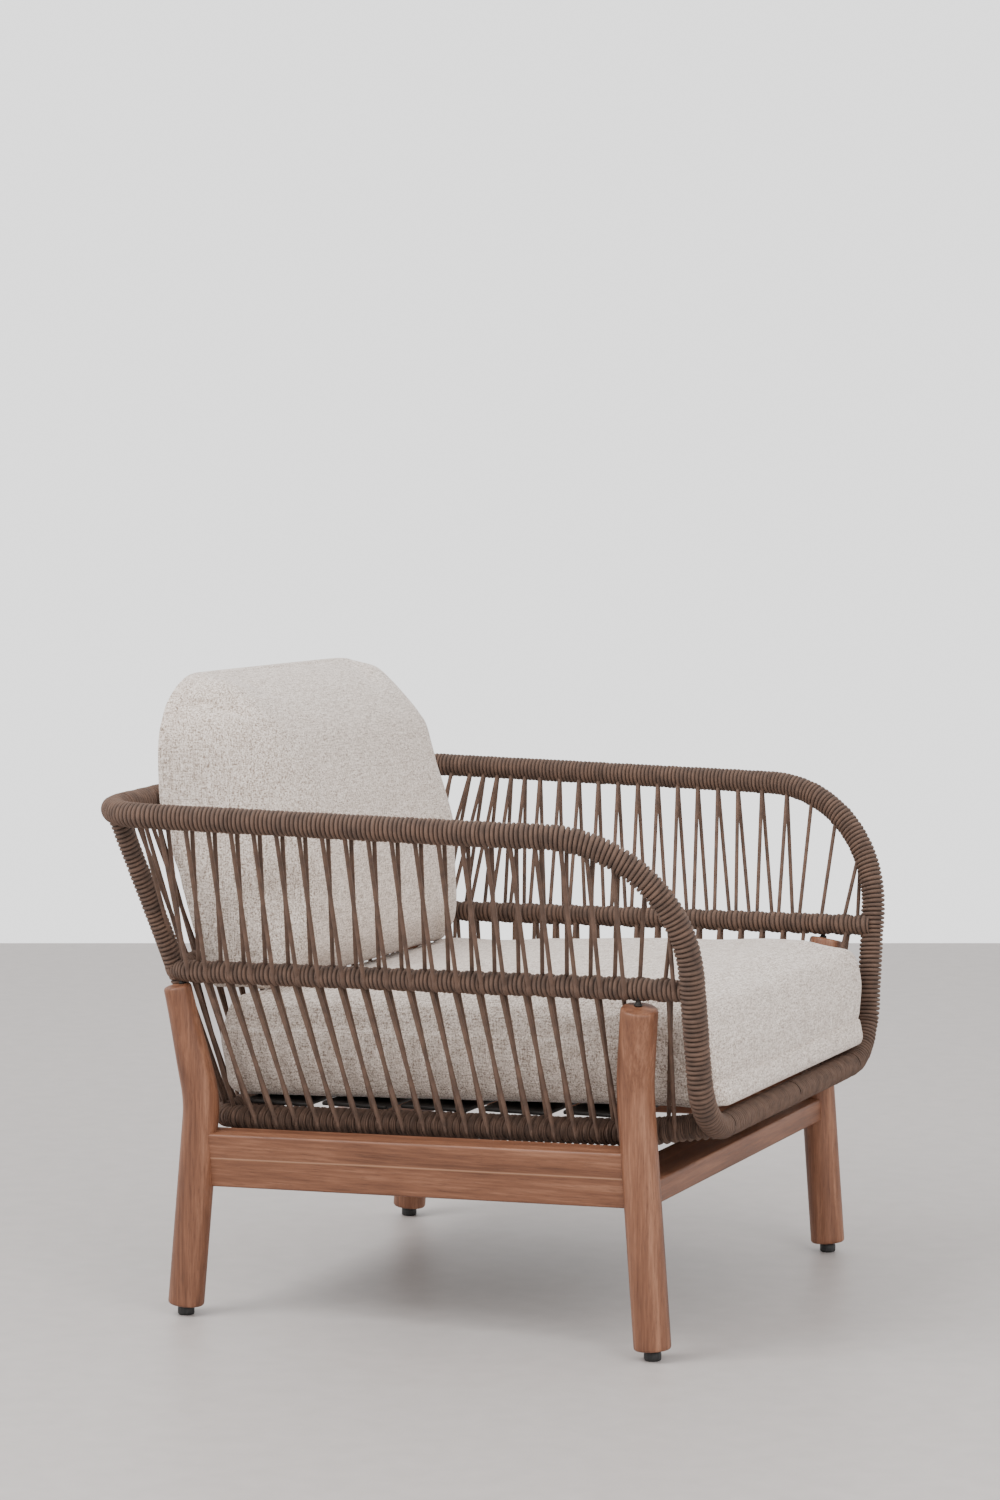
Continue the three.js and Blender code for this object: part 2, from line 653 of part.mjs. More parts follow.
// Rear corners: the sleeve on the bend, open for the post above it and the pin below it.
const midCorner = sweep(trimmed(cornerOf(midPath), halfGap), midWrapRadius, thinBore);
const ringCorner = sweep(trimmed(cornerOf(ringPath), halfGap), ringWrapRadius, thinBore);
addPair('rope_corner_mid', cutBy(midCorner, [...pinHoles, postSpace]), rope);
addPair('rope_corner_ring', ringCorner, rope);

// ---------------------------------------------------------------- deck slats on the ring
const ringZAt = (y) => pointWhere(sideFrom(ringPath), 'y', y).z;
const ringSlope = (ringFrontZ - ringRearZ) / (ringRearY + ringKickY);
const slatBottomAt = (y) => ringZAt(y) + ringWrapRadius + gap + (ringSlope * slatWidth) / 2;
for (let i = 0; i < slatCount; i++) {
  const y = lerp(slatFrontY, slatRearY, i / (slatCount - 1));
  const geometry = new THREE.BoxGeometry(2 * slatHalfLength, slatWidth, slatThickness);
  geometry.translate(0, y, slatBottomAt(y) + slatThickness / 2);
  addPiece(`deck_slat_${i + 1}`, solid(geometry), darkMetal);
}

// ---------------------------------------------------------------- cushions
const seatSlope = (midRearZ - midFrontZ) / (midRearY + hoopY) * 2;
const seatTopAt = (y) => seatTopZ + seatSlope * y;
const seatBottomAt = (y) => slatBottomAt(y) + slatThickness + gap + (ringSlope * slatWidth) / 2;

// A closed outline in the plane of Y and Z, drawn out along X by width.
function alongX(outline, width) {
  const shape = new THREE.Shape(outline.map(([y, z]) => new THREE.Vector2(y, z)));
  const geometry = new THREE.ExtrudeGeometry(shape, { depth: width, bevelEnabled: false });
  geometry.translate(0, 0, -width / 2);
  const basis = new THREE.Matrix4().makeBasis(vec(0, 1, 0), vec(0, 0, 1), vec(1, 0, 0));
  geometry.applyMatrix4(basis);
  return solid(geometry);
}

// A closed outline in the plane of X and Z, drawn out along Y by depth.
function alongY(outline, depth) {
  const shape = new THREE.Shape(outline.map(([x, z]) => new THREE.Vector2(x, z)));
  const geometry = new THREE.ExtrudeGeometry(shape, { depth, bevelEnabled: false });
  geometry.translate(0, 0, -depth / 2);
  const basis = new THREE.Matrix4().makeBasis(vec(1, 0, 0), vec(0, 0, 1), vec(0, -1, 0));
  geometry.applyMatrix4(basis);
  return solid(geometry);
}

// Points of a round corner from one angle to another, in degrees.
function arc(cx, cz, radius, fromAngle, toAngle, steps) {
  const points = [];
  for (let i = 0; i <= steps; i++) {
    const angle = radians(lerp(fromAngle, toAngle, i / steps));
    points.push([cx + radius * Math.cos(angle), cz + radius * Math.sin(angle)]);
  }
  return points;
}

const noseY = -seatFrontY + seatNose;
const seatSide = [
  [noseY, seatBottomAt(noseY)],
  [seatRearY, seatBottomAt(seatRearY)],
  [seatRearY, seatTopAt(seatRearY)],
  ...arc(noseY, seatTopAt(noseY) - seatNose, seatNose, 90, 180, 5),
  ...arc(noseY, seatBottomAt(noseY) + seatNose / 2, seatNose, 180, 210, 2),
];
const seatFace = [
  [-seatBottomHalfWidth, 0],
  [seatBottomHalfWidth, 0],
  [seatBottomHalfWidth, seatBottomAt(0)],
  [seatTopHalfWidth, seatShoulderZ],
  [seatTopHalfWidth, 2 * seatTopZ],
  [-seatTopHalfWidth, 2 * seatTopZ],
  [-seatTopHalfWidth, seatShoulderZ],
  [-seatBottomHalfWidth, seatBottomAt(0)],
];
const seatBlock = alongX(seatSide, 4 * seatTopHalfWidth).intersect(alongY(seatFace, 4 * seatFrontY));
// The nose of the cushion rests in the curve of the front hoops.
const seat = cutBy(seatBlock, [armSpace, mirrored(armSpace), frontSpace]);
addPiece('seat_cushion', seat, linen);

const backFootFrontY = backFrontY + backFootInset;
const backFootRearY = midRearY - midWrapRadius - backFootClearance;
const backBendZ = lerp(seatTopZ, backTopZ, backBendShare);
const backSlopeAt = (z) => backFrontY + (z - backBendZ) * Math.tan(radians(backLean));
const backShoulderZ = backTopZ - backShoulder;
const backSide = [
  [backFootFrontY, seatTopAt(backFootFrontY) + gap],
  [backFootRearY, seatTopAt(backFootRearY) + gap],
  [backFootRearY + backReliefY, midRearZ + backReliefZ],
  [backRearY, backCornerZ - backReliefY],
  [backRearY, backShoulderZ + backReliefZ],
  [backRearY - backThicknessTop / 4, backTopZ - backCrown],
  [backRearY - backThicknessTop / 2, backTopZ],
  [backRearY - backThicknessTop, backTopZ - backCrown],
  [backSlopeAt(backShoulderZ), backShoulderZ],
  [backSlopeAt(lerp(backBendZ, backShoulderZ, 0.5)), lerp(backBendZ, backShoulderZ, 0.5)],
  [backFrontY, backBendZ],
  [backFrontY, lerp(seatTopZ, backBendZ, 0.4)],
];
const cornerX = backHalfWidth - backTopRadius;
const cornerZ = backTopZ - backTopRadius;
const backWaistZ = lerp(seatTopZ, backTopZ, backWaistShare);
const backFace = [
  [-backHalfWidth + backWaist, 0],
  [backHalfWidth - backWaist, 0],
  [backHalfWidth - backWaist, seatTopZ],
  [backHalfWidth, backWaistZ],
  ...arc(cornerX, cornerZ, backTopRadius, 0, 90, 5),
  ...arc(-cornerX, cornerZ, backTopRadius, 90, 180, 5),
  [-backHalfWidth, backWaistZ],
  [-backHalfWidth + backWaist, seatTopZ],
];
const backPad = alongX(backSide, 4 * backHalfWidth).intersect(alongY(backFace, 4 * backRearY));
addPiece('back_cushion', backPad, linen);

// The origin is on the floor under the middle of the chair's depth.
const bounds = new THREE.Box3().setFromObject(group);
group.position.y = -(bounds.min.y + bounds.max.y) / 2;
const chair = new THREE.Group();
chair.add(group);

export default chair;
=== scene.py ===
"""Looks for the outdoor lounge armchair: wound and strung rope, oiled wood and linen cushions, built around
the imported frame. Metres, +Z up, the sitter faces -Y, the left side is x > 0."""

import math

import bmesh
import bpy
import numpy as np
from mathutils import Matrix, Vector


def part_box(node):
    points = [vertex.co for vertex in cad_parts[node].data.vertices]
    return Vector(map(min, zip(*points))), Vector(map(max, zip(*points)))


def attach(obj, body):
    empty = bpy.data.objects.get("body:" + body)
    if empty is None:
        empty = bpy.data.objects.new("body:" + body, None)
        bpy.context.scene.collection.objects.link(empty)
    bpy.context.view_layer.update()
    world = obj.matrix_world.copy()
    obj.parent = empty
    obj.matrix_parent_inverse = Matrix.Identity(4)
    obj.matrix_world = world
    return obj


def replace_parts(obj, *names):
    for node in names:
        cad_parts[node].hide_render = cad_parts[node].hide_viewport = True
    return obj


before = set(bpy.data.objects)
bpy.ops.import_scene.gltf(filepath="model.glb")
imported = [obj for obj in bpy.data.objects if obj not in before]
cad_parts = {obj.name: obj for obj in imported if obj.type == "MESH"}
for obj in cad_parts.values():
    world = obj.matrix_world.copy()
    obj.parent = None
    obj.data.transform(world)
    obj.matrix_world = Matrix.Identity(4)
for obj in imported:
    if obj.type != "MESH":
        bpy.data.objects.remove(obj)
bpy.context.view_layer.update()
SIDES = {"left": 1, "right": -1}


def middle(node):
    """The middle of a CAD node's box."""
    low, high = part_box(node)
    return (low + high) / 2


# ---------------------------------------------------------------- routes, as in the CAD source
# The routes are drawn with the front and rear feet at equal distances from y = 0, and SHIFT brings them
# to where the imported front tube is. check_route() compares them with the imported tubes.
FRONT_TUBE_Y = -0.350
SHIFT = np.array([0, middle("front_tube").y - FRONT_TUBE_Y, 0])

TUBE_RADIUS = 0.010
THIN_TUBE_RADIUS = 0.008
MAIN_WRAP = 0.015
MID_WRAP = 0.0125
RING_WRAP = 0.014

TOP_CORNERS = [
    (0, 0.367, 0.618),
    (0.418, 0.367, 0.604),
    (0.400, -0.150, 0.596),
    (0.366, -0.346, 0.594),
    (0.301, -0.350, 0.258),
    (0, -0.350, 0.258),
]
TOP_BENDS = [0.075, 0.660, 0.165, 0.080]
MID_CORNERS = [(0, 0.316, 0.413), (0.334, 0.316, 0.413), (0.326, -0.348, 0.423)]
MID_BENDS = [0.040]
RING_CORNERS = [(0, 0.281, 0.231), (0.272, 0.281, 0.231), (0.272, -0.262, 0.249), (0.262, -0.350, 0.2627)]
RING_BENDS = [0.040, 0.120]


def unit(v):
    return v / np.linalg.norm(v, axis=-1, keepdims=True)


def bent(corners, bends, steps=24):
    """Points along straight stretches joined by round bends. bends[i] is the radius at corners[i + 1]."""
    corners = [np.array(c, float) + SHIFT for c in corners]
    points = [corners[0]]
    for before, corner, after, radius in zip(corners, corners[1:], corners[2:], bends):
        into, out = unit(corner - before), unit(after - corner)
        turn = math.acos(np.clip(into @ out, -1, 1))
        start = corner - into * radius * math.tan(turn / 2)
        inward = unit(out - into * math.cos(turn))
        centre = start + inward * radius
        for k in range(steps + 1):
            angle = turn * k / steps
            points.append(centre + radius * (into * math.sin(angle) - inward * math.cos(angle)))
    points.append(corners[-1])
    return np.array(points)


def both_sides(half):
    """A route that starts on the middle plane, as one route from its right end to its left end."""
    return np.vstack([half[::-1] * (-1, 1, 1), half[1:]])


class Route:
    """A line through points, with a frame that turns as little as it can along it."""

    def __init__(self, points, normal, spacing=0.002):
        lengths = np.r_[0, np.cumsum(np.linalg.norm(np.diff(points, axis=0), axis=1))]
        self.length = lengths[-1]
        self.at = np.linspace(0, self.length, max(2, int(self.length / spacing) + 1))
        self.points = np.stack([np.interp(self.at, lengths, points[:, k]) for k in range(3)], 1)
        self.tangents = unit(np.gradient(self.points, axis=0))
        normals = [np.array(normal, float)]
        for tangent in self.tangents:
            last = normals[-1]
            normals.append(unit(last - tangent * (last @ tangent)))
        self.normals = np.array(normals[1:])

    def look_up(self, table, s):
        return np.stack([np.interp(s, self.at, table[:, k]) for k in range(3)], -1)

    def place(self, s, angle, radius):
        """Points at distances s along the route and at a radius from it. Angle 0 is along the normal."""
        point, tangent = self.look_up(self.points, s), self.look_up(self.tangents, s)
        normal = unit(self.look_up(self.normals, s))
        side = np.cross(tangent, normal)
        angle, radius = np.asarray(angle)[..., None], np.asarray(radius)[..., None]
        return point + radius * (np.cos(angle) * normal + np.sin(angle) * side)

    def nearest(self, axis, value, after=0.0, before=None):
        """The distance along the route, between after and before, where one coordinate has a value."""
        inside = (self.at >= after) & (self.at <= (self.length if before is None else before))
        gap = np.where(inside, np.abs(self.points[:, axis] - value), np.inf)
        return self.at[int(np.argmin(gap))]


# Each route runs from its right end to its left end, round the back. The top loop starts and ends in the
# middle of the front bar, and the other two at the front hoops.
TOP = Route(both_sides(bent(TOP_CORNERS, TOP_BENDS)), (0, -1, 0))
MID = Route(both_sides(bent(MID_CORNERS, MID_BENDS)), (-1, 0, 0))
RING = Route(both_sides(bent(RING_CORNERS, RING_BENDS)), (-1, 0, 0))


ROUTE_TOLERANCE = 0.012


def check_route(route, radius, *nodes):
    """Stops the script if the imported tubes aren't where the route says."""
    boxes = np.array([[list(corner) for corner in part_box(node)] for node in nodes])
    low, high = boxes[:, 0].min(0), boxes[:, 1].max(0)
    off = max(abs(low - route.points.min(0) + radius).max(), abs(high - route.points.max(0) - radius).max())
    if off > ROUTE_TOLERANCE:
        raise SystemExit(f"{nodes[0]} is {off * 1000:.1f} mm off its route")


check_route(TOP, TUBE_RADIUS, "arm_tube_left", "arm_tube_right", "back_top_tube", "front_tube")
check_route(MID, THIN_TUBE_RADIUS, "mid_tube_left", "mid_tube_right", "mid_tube_back")
check_route(RING, THIN_TUBE_RADIUS, "ring_tube_left", "ring_tube_right", "ring_tube_back")


# ---------------------------------------------------------------- shader helpers
class Nodes:
    """A material's node tree, with short ways to add and link nodes."""

    def __init__(self, name):
        self.material = bpy.data.materials.new(name)
        self.material.use_nodes = True
        self.tree = self.material.node_tree
        self.shader = self.tree.nodes["Principled BSDF"]

    def add(self, kind, inputs=(), **settings):
        node = self.tree.nodes.new(kind)
        for key, value in settings.items():
            setattr(node, key, value)
        for key, value in dict(inputs).items():
            self.set(node.inputs[key], value)
        return node

    def set(self, socket, value):
        if isinstance(value, bpy.types.NodeSocket):
            self.tree.links.new(value, socket)
        else:
            socket.default_value = value

    def surface(self, **inputs):
        for key, value in inputs.items():
            self.set(self.shader.inputs[key.replace("_", " ")], value)

    def math(self, operation, a, b=0.0, clamp=False):
        return self.add("ShaderNodeMath", {0: a, 1: b}, operation=operation, use_clamp=clamp).outputs[0]

    def mapping(self, scale, source="Object", rotation=(0, 0, 0)):
        place = self.add("ShaderNodeTexCoord").outputs[source]
        inputs = {"Vector": place, "Scale": scale, "Rotation": rotation}
        return self.add("ShaderNodeMapping", inputs).outputs[0]

    def noise(self, vector, scale, detail=3.0, roughness=0.5):
        inputs = {"Vector": vector, "Scale": scale, "Detail": detail, "Roughness": roughness}
        return self.add("ShaderNodeTexNoise", inputs).outputs["Fac"]

    def ramp(self, value, stops):
        node = self.add("ShaderNodeValToRGB", {"Fac": value})
        ramp = node.color_ramp
        while len(ramp.elements) < len(stops):
            ramp.elements.new(0.5)
        for element, (position, colour) in zip(ramp.elements, stops):
            element.position = position
            element.color = (*colour, 1)
        return node.outputs["Color"]

    def mix(self, share, a, b, blend="MIX"):
        node = self.add("ShaderNodeMix", data_type="RGBA", blend_type=blend)
        self.set(node.inputs[0], share)
        self.set(node.inputs[6], a if isinstance(a, bpy.types.NodeSocket) else (*a, 1))
        self.set(node.inputs[7], b if isinstance(b, bpy.types.NodeSocket) else (*b, 1))
        return node.outputs[2]

    def bump(self, height, distance, strength=1.0):
        inputs = {"Height": height, "Distance": distance, "Strength": strength}
        return self.add("ShaderNodeBump", inputs).outputs[0]


CORD_WIDTH = 0.0055


def rope_material():
    """Braided rope: fine ribs slanting both ways over the cord, uneven in tone, matt, with painted shade
    along the edges of each cord.
    """
    n = Nodes("rope_braid")
    uv = n.add("ShaderNodeUVMap", uv_map="cord").outputs[0]
    braid = []
    for turn in (0.6, -0.6):
        slanted = n.add("ShaderNodeMapping", {"Vector": uv, "Rotation": (0, 0, turn)}).outputs[0]
        wave = n.add("ShaderNodeTexWave", {"Vector": slanted, "Scale": 420.0, "Distortion": 0.6})
        braid.append(wave.outputs["Fac"])
    weave = n.math("MAXIMUM", *braid)
    tone = n.noise(n.mapping((70, 70, 70)), 1.0, 4.0)
    blotch = n.noise(n.mapping((9, 9, 9)), 1.0, 2.0)
    colour = n.ramp(tone, [(0.3, (0.074, 0.040, 0.026)), (0.7, (0.172, 0.095, 0.062))])
    colour = n.mix(n.math("MULTIPLY", blotch, 0.35), colour, (0.090, 0.058, 0.042))
    colour = n.mix(n.math("MULTIPLY", n.math("SUBTRACT", 1.0, weave), 0.45), colour, (0.030, 0.016, 0.011))
    # Painted shade: the edges of each cord are darker, as if the neighbouring turns shaded the groove
    # between them.
    across = n.add("ShaderNodeSeparateXYZ", {"Vector": uv}).outputs["Y"]
    side = n.math("ABSOLUTE", n.math("SUBTRACT", n.math("DIVIDE", across, CORD_WIDTH), 0.5))
    painted_groove_shade = n.math("MULTIPLY", n.math("SUBTRACT", side, 0.27, True), 4.5, True)
    # The mix below paints shade into the grooves between turns.
    colour = n.mix(n.math("MULTIPLY", painted_groove_shade, 0.85), colour, (0.016, 0.008, 0.006))
    n.surface(Base_Color=colour, Roughness=0.74, Normal=n.bump(weave, 0.0004, 0.7))
    n.surface(Sheen_Weight=0.15, Sheen_Roughness=0.5)
    n.shader.inputs["Sheen Tint"].default_value = (0.6, 0.45, 0.36, 1)
    return n.material


def wood_material(name, stretch, painted_highlight=None):
    """Oiled hardwood. stretch scales the grain: small along it, large across it."""
    n = Nodes(name)
    grain_place = n.mapping(stretch)
    broad = n.noise(grain_place, 0.30, 3.0, 0.55)
    fine = n.noise(grain_place, 2.1, 6.0, 0.65)
    pores = n.noise(grain_place, 7.0, 3.0, 0.6)
    wave = {"Vector": grain_place, "Scale": 0.16, "Distortion": 1.5, "Detail": 2.0}
    rings = n.add("ShaderNodeTexWave", wave)
    tone = n.math("ADD", n.math("MULTIPLY", broad, 0.50), n.math("MULTIPLY", fine, 0.44))
    tone = n.math("ADD", tone, n.math("MULTIPLY", rings.outputs["Fac"], 0.06))
    stops = [(0.34, (0.098, 0.036, 0.017)), (0.50, (0.196, 0.080, 0.041)), (0.64, (0.318, 0.148, 0.084))]
    colour = n.ramp(tone, stops)
    dark = n.ramp(pores, [(0.36, (1, 1, 1)), (0.44, (0, 0, 0))])
    colour = n.mix(n.math("MULTIPLY", dark, 0.35), colour, (0.062, 0.023, 0.012))
    # An optional painted highlight: a pale line mixed in over the grain.
    if painted_highlight is not None:
        colour = n.mix(n.math("MULTIPLY", painted_highlight(n), 0.8), colour, (0.400, 0.220, 0.132))
    roughness = n.math("ADD", n.math("MULTIPLY", fine, 0.22), 0.36)
    height = n.math("SUBTRACT", fine, n.math("MULTIPLY", dark, 0.6))
    n.surface(Base_Color=colour, Roughness=roughness, Normal=n.bump(height, 0.0003, 0.5))
    n.surface(Specular_IOR_Level=0.42)
    return n.material


def linen_material():
    """Woven linen look: crossing threads about a millimetre wide, flecked light and dark."""
    n = Nodes("linen_weave")
    threads = []
    for stretch in ((70, 650, 650), (650, 70, 650), (650, 650, 70)):
        threads.append(n.noise(n.mapping(stretch), 1.0, 2.0, 0.6))
    most = n.math("MAXIMUM", n.math("MAXIMUM", threads[0], threads[1]), threads[2])
    least = n.math("MINIMUM", n.math("MINIMUM", threads[0], threads[1]), threads[2])
    fleck = n.math("MULTIPLY", n.math("ADD", most, least), 0.5)
    cells = n.noise(n.mapping((480, 480, 480)), 1.0, 2.0, 0.7)
    broad = n.noise(n.mapping((14, 14, 14)), 1.0, 2.0)
    tone = n.math("ADD", n.math("MULTIPLY", fleck, 0.65), n.math("MULTIPLY", cells, 0.35))
    stops = [(0.42, (0.215, 0.152, 0.112)), (0.50, (0.625, 0.525, 0.447)), (0.58, (0.900, 0.810, 0.735))]
    colour = n.ramp(tone, stops)
    colour = n.mix(n.math("MULTIPLY", broad, 0.15), colour, (0.50, 0.43, 0.37))
    n.surface(Base_Color=colour, Roughness=0.92, Normal=n.bump(tone, 0.0011, 0.9))
    n.surface(Sheen_Weight=0.25, Sheen_Roughness=0.6)
    return n.material


def metal_material():
    """Dark powder coat with a fine orange-peel surface."""
    n = Nodes("powder_coat")
    peel = n.noise(n.mapping((900, 900, 900)), 1.0, 2.0)
    colour = n.ramp(peel, [(0.3, (0.012, 0.010, 0.009)), (0.7, (0.026, 0.021, 0.018))])
    n.surface(Base_Color=colour, Roughness=0.55, Normal=n.bump(peel, 0.0002, 0.4), Specular_IOR_Level=0.3)
    return n.material


def plastic_material():
    """Moulded black plastic, scuffed where it meets the floor."""
    n = Nodes("moulded_plastic")
    scuff = n.noise(n.mapping((400, 400, 90)), 1.0, 4.0)
    colour = n.ramp(scuff, [(0.35, (0.008, 0.008, 0.008)), (0.75, (0.030, 0.029, 0.028))])
    roughness = n.math("ADD", n.math("MULTIPLY", scuff, 0.3), 0.4)
    n.surface(Base_Color=colour, Roughness=roughness, Normal=n.bump(scuff, 0.0002, 0.4))
    return n.material


ROPE = rope_material()
LINEN = linen_material()
METAL = metal_material()
PLASTIC = plastic_material()


# ---------------------------------------------------------------- mesh helpers
def piece(name, verts, faces, material, uvs=None, smooth=True):
    """A new mesh, linked into the scene. uvs has one pair for each face corner."""
    mesh = bpy.data.meshes.new(name)
    mesh.from_pydata([tuple(v) for v in np.asarray(verts)], [], [tuple(f) for f in faces])
    if uvs is not None:
        layer = mesh.uv_layers.new(name="cord")
        layer.uv.foreach_set("vector", np.asarray(uvs, np.float32).ravel())
    mesh.polygons.foreach_set("use_smooth", [smooth] * len(mesh.polygons))
    mesh.materials.append(material)
    made = bpy.data.objects.new(name, mesh)
    bpy.context.scene.collection.objects.link(made)
    return made


# ---------------------------------------------------------------- wound rope
CORD_PITCH = 0.0055
CORD_ROWS = 7
CORD_SIDES = 22
# Turns of rope from one strand pair to the next.
TURNS_BETWEEN = 5
# How unevenly the turns lie, outwards and along the tube.
LOOSE_TURNS = 0.00022
SHIFTED_TURNS = 0.00035
# The turns at an end of a winding lie straight within this distance of it.
STRAIGHT_END = 0.006
# Round tubes are wound over a thin layer, and the cord stands this far up from it.
UNDER_ROPE = 0.0005
CORD_DEPTH = 0.0045


def random_line(rng, count, size):
    """A random value for each turn, for np.interp to read."""
    return rng.normal(0, size, count + 4)


def wind(name, route, start, end, core, seed, group=None, lean=0.0, depth=CORD_DEPTH):
    """Rope wound round a route from start to end, one continuous helix of touching turns.
    core is the radius under the rope and depth is how far the cord stands up from it. group makes bulging
    bunches between strands: (period, offset, height). lean slants the turns of a bunch."""
    rng = np.random.default_rng(seed)
    cord = group[0] / TURNS_BETWEEN if group else CORD_PITCH
    turns = max(1, round((end - start) / cord))
    pitch = (end - start) / turns
    total = turns * CORD_ROWS + 1 + CORD_ROWS
    row = np.arange(total)[:, None]
    column = np.arange(CORD_SIDES)[None, :]
    winding = row / CORD_ROWS + column / CORD_SIDES - 1
    winding = np.clip(winding, 0, turns)
    across = (row % CORD_ROWS) / CORD_ROWS
    ridge = np.sqrt(np.clip(1 - (2 * across - 1) ** 2, 0, 1))
    angle = 2 * np.pi * column / CORD_SIDES + 0 * row
    index = np.arange(turns + 4)
    loose = np.interp(winding, index, random_line(rng, turns, LOOSE_TURNS))
    shift = np.interp(winding, index, random_line(rng, turns, SHIFTED_TURNS))
    s = start + winding * pitch
    radius = core + depth * ridge + loose * ridge
    if group is not None:
        period, offset, height = group
        phase = ((s - offset) / period) % 1
        radius = radius + height * np.abs(np.sin(np.pi * phase)) ** 0.7
        fan = np.sin(2 * np.pi * phase) * 0.45 + 0.75
        shift = shift + lean * fan * (np.cos(angle + 0.5) - 0.3)
    edge = np.minimum(np.minimum(s - start, end - s) / STRAIGHT_END, 1)
    points = route.place(np.clip(s + shift * edge, 0, route.length), angle, radius)
    verts = points.reshape(-1, 3)
    faces, uvs = [], []
    size = 2 * np.pi * (core + depth / 2) / CORD_SIDES
    dv = CORD_WIDTH / CORD_ROWS
    for i in range(total - 1):
        for j in range(CORD_SIDES):
            over = j == CORD_SIDES - 1
            lower = (i + CORD_ROWS) * CORD_SIDES if over else i * CORD_SIDES + j + 1
            upper = (i + 1 + CORD_ROWS) * CORD_SIDES if over else (i + 1) * CORD_SIDES + j + 1
            if over and i + 1 + CORD_ROWS >= total:
                continue
            faces.append((i * CORD_SIDES + j, lower, upper, (i + 1) * CORD_SIDES + j))
            u = (i // CORD_ROWS * CORD_SIDES + j) * size
            v = (i % CORD_ROWS) * dv
            uvs += [(u, v), (u + size, v), (u + size, v + dv), (u, v + dv)]
    made = piece(name, verts, faces, ROPE, uvs)
    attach(made, "chair")
    return made


# Where the top loop changes from front bar to arm to back rail.
s_front_right = TOP.nearest(0, -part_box("front_tube")[1].x, 0, TOP.length / 2)
s_back_right = TOP.nearest(0, -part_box("back_top_tube")[1].x, s_front_right + 0.5, TOP.length / 2)
RIGHT_MARKS = [0, s_front_right, s_back_right]
TOP_MARKS = RIGHT_MARKS + [TOP.length - mark for mark in RIGHT_MARKS[::-1]]


def wind_basket():
    """The rope on the top loop: back rail, arms, front hoops and front bar."""
    core = TUBE_RADIUS + UNDER_ROPE
    names = ["front_right", "arm_right", "back_top", "arm_left", "front_left"]
    made = {}
    for k, name in enumerate(names):
        made[name] = wind(f"wound_{name}", TOP, TOP_MARKS[k], TOP_MARKS[k + 1], core, 10 + k)
    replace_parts(made["arm_left"], "wrap_arm_left")
    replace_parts(made["arm_right"], "wrap_arm_right")
    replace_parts(made["back_top"], "wrap_back_top")
    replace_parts(made["front_left"], "wrap_front")


wind_basket()


# ---------------------------------------------------------------- strung rope
STRAND_RADIUS = 0.0026
STRAND_SIDES = 10
STRAND_PITCH = 0.0285
# How far apart a pair's two strands start, in the upper and the lower field.
PAIR_SPREAD = 0.0045
LOWER_SPREAD = 0.0012
# How far each of them ends from the pair's middle, in the upper and the lower field.
END_APART = 0.0080
LOWER_END_APART = 0.75 * END_APART
# How deep in the rope a strand starts, how far outside or inside the rail's middle, and how far the outer
# one stands up from the rope it ends on.
STRAND_SUNK = 0.006
OUTER_START = 0.0055
INNER_START = 0.004
INNER_END = 0.002
STRAND_PROUD = 0.0011


def tube_faces(count, sides):
    """Faces that join count rings of points into a tube, closed at both ends."""
    faces = []
    for i in range(count - 1):
        for k in range(sides):
            m = (k + 1) % sides
            faces.append((i * sides + k, i * sides + m, (i + 1) * sides + m, (i + 1) * sides + k))
    last = (count - 1) * sides
    return faces + [tuple(range(sides - 1, -1, -1)), tuple(range(last, last + sides))]


def sweep(points, radius, sides):
    """Verts, faces and corner uvs of a round cord through points, closed at both ends."""
    points = np.asarray(points)
    route_length = np.r_[0, np.cumsum(np.linalg.norm(np.diff(points, axis=0), axis=1))]
    tangents = unit(np.gradient(points, axis=0))
    helper = np.array([0, 1.0, 0]) if abs(tangents[0][1]) < 0.8 else np.array([1.0, 0, 0])
    verts, uvs = [], []
    for p, t in zip(points, tangents):
        a = unit(helper - t * (helper @ t))
        helper = a
        b = np.cross(t, a)
        for k in range(sides):
            angle = 2 * np.pi * k / sides
            verts.append(p + radius * (math.cos(angle) * a + math.sin(angle) * b))
    for u0, u1 in zip(route_length, route_length[1:]):
        for k in range(sides):
            v0, v1 = [CORD_WIDTH * (0.5 + 0.2 * math.cos(2 * math.pi * q / sides)) for q in (k, k + 1)]
            uvs += [(u0, v0), (u0, v1), (u1, v1), (u1, v0)]
    uvs += [(0, CORD_WIDTH / 2)] * (2 * sides)
    return verts, tube_faces(len(points), sides), uvs


class Bundle:
    """Many cords gathered into one piece."""

    def __init__(self):
        self.verts, self.faces, self.uvs = [], [], []

    def add(self, points):
        verts, faces, uvs = sweep(points, STRAND_RADIUS, STRAND_SIDES)
        base = len(self.verts)
        self.verts += verts
        self.faces += [tuple(base + i for i in face) for face in faces]
        self.uvs += uvs

    def piece(self, name, *nodes):
        made = piece(name, self.verts, self.faces, ROPE, self.uvs)
        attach(made, "chair")
        if nodes:
            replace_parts(made, *nodes)
        return made


# ---------------------------------------------------------------- wood: legs and rails
LEG_RADIUS = 0.0215
REAR_LEG_TOP_RADIUS = 0.0165
KNEE_BEND = 0.160
LEG_FILLET = 0.0035
# How far below its top a leg's upper part starts to taper.
TAPER_LENGTH = 0.137
LEG_SIDES = 48
GLIDE_HEIGHT = 0.012
RAIL_THICKNESS = 0.028
RAIL_DEPTH = 0.066
RAIL_LEAN = math.radians(11)
RAIL_ROUND = 0.003
SLAT_ROUND = 0.002
# The painted highlight on the side rails, a pale line for light caught on a ridge along the face: its fall
# from front to back, and half its width.
HIGHLIGHT_FALL = 0.015
HIGHLIGHT_HALF_WIDTH = 0.0016


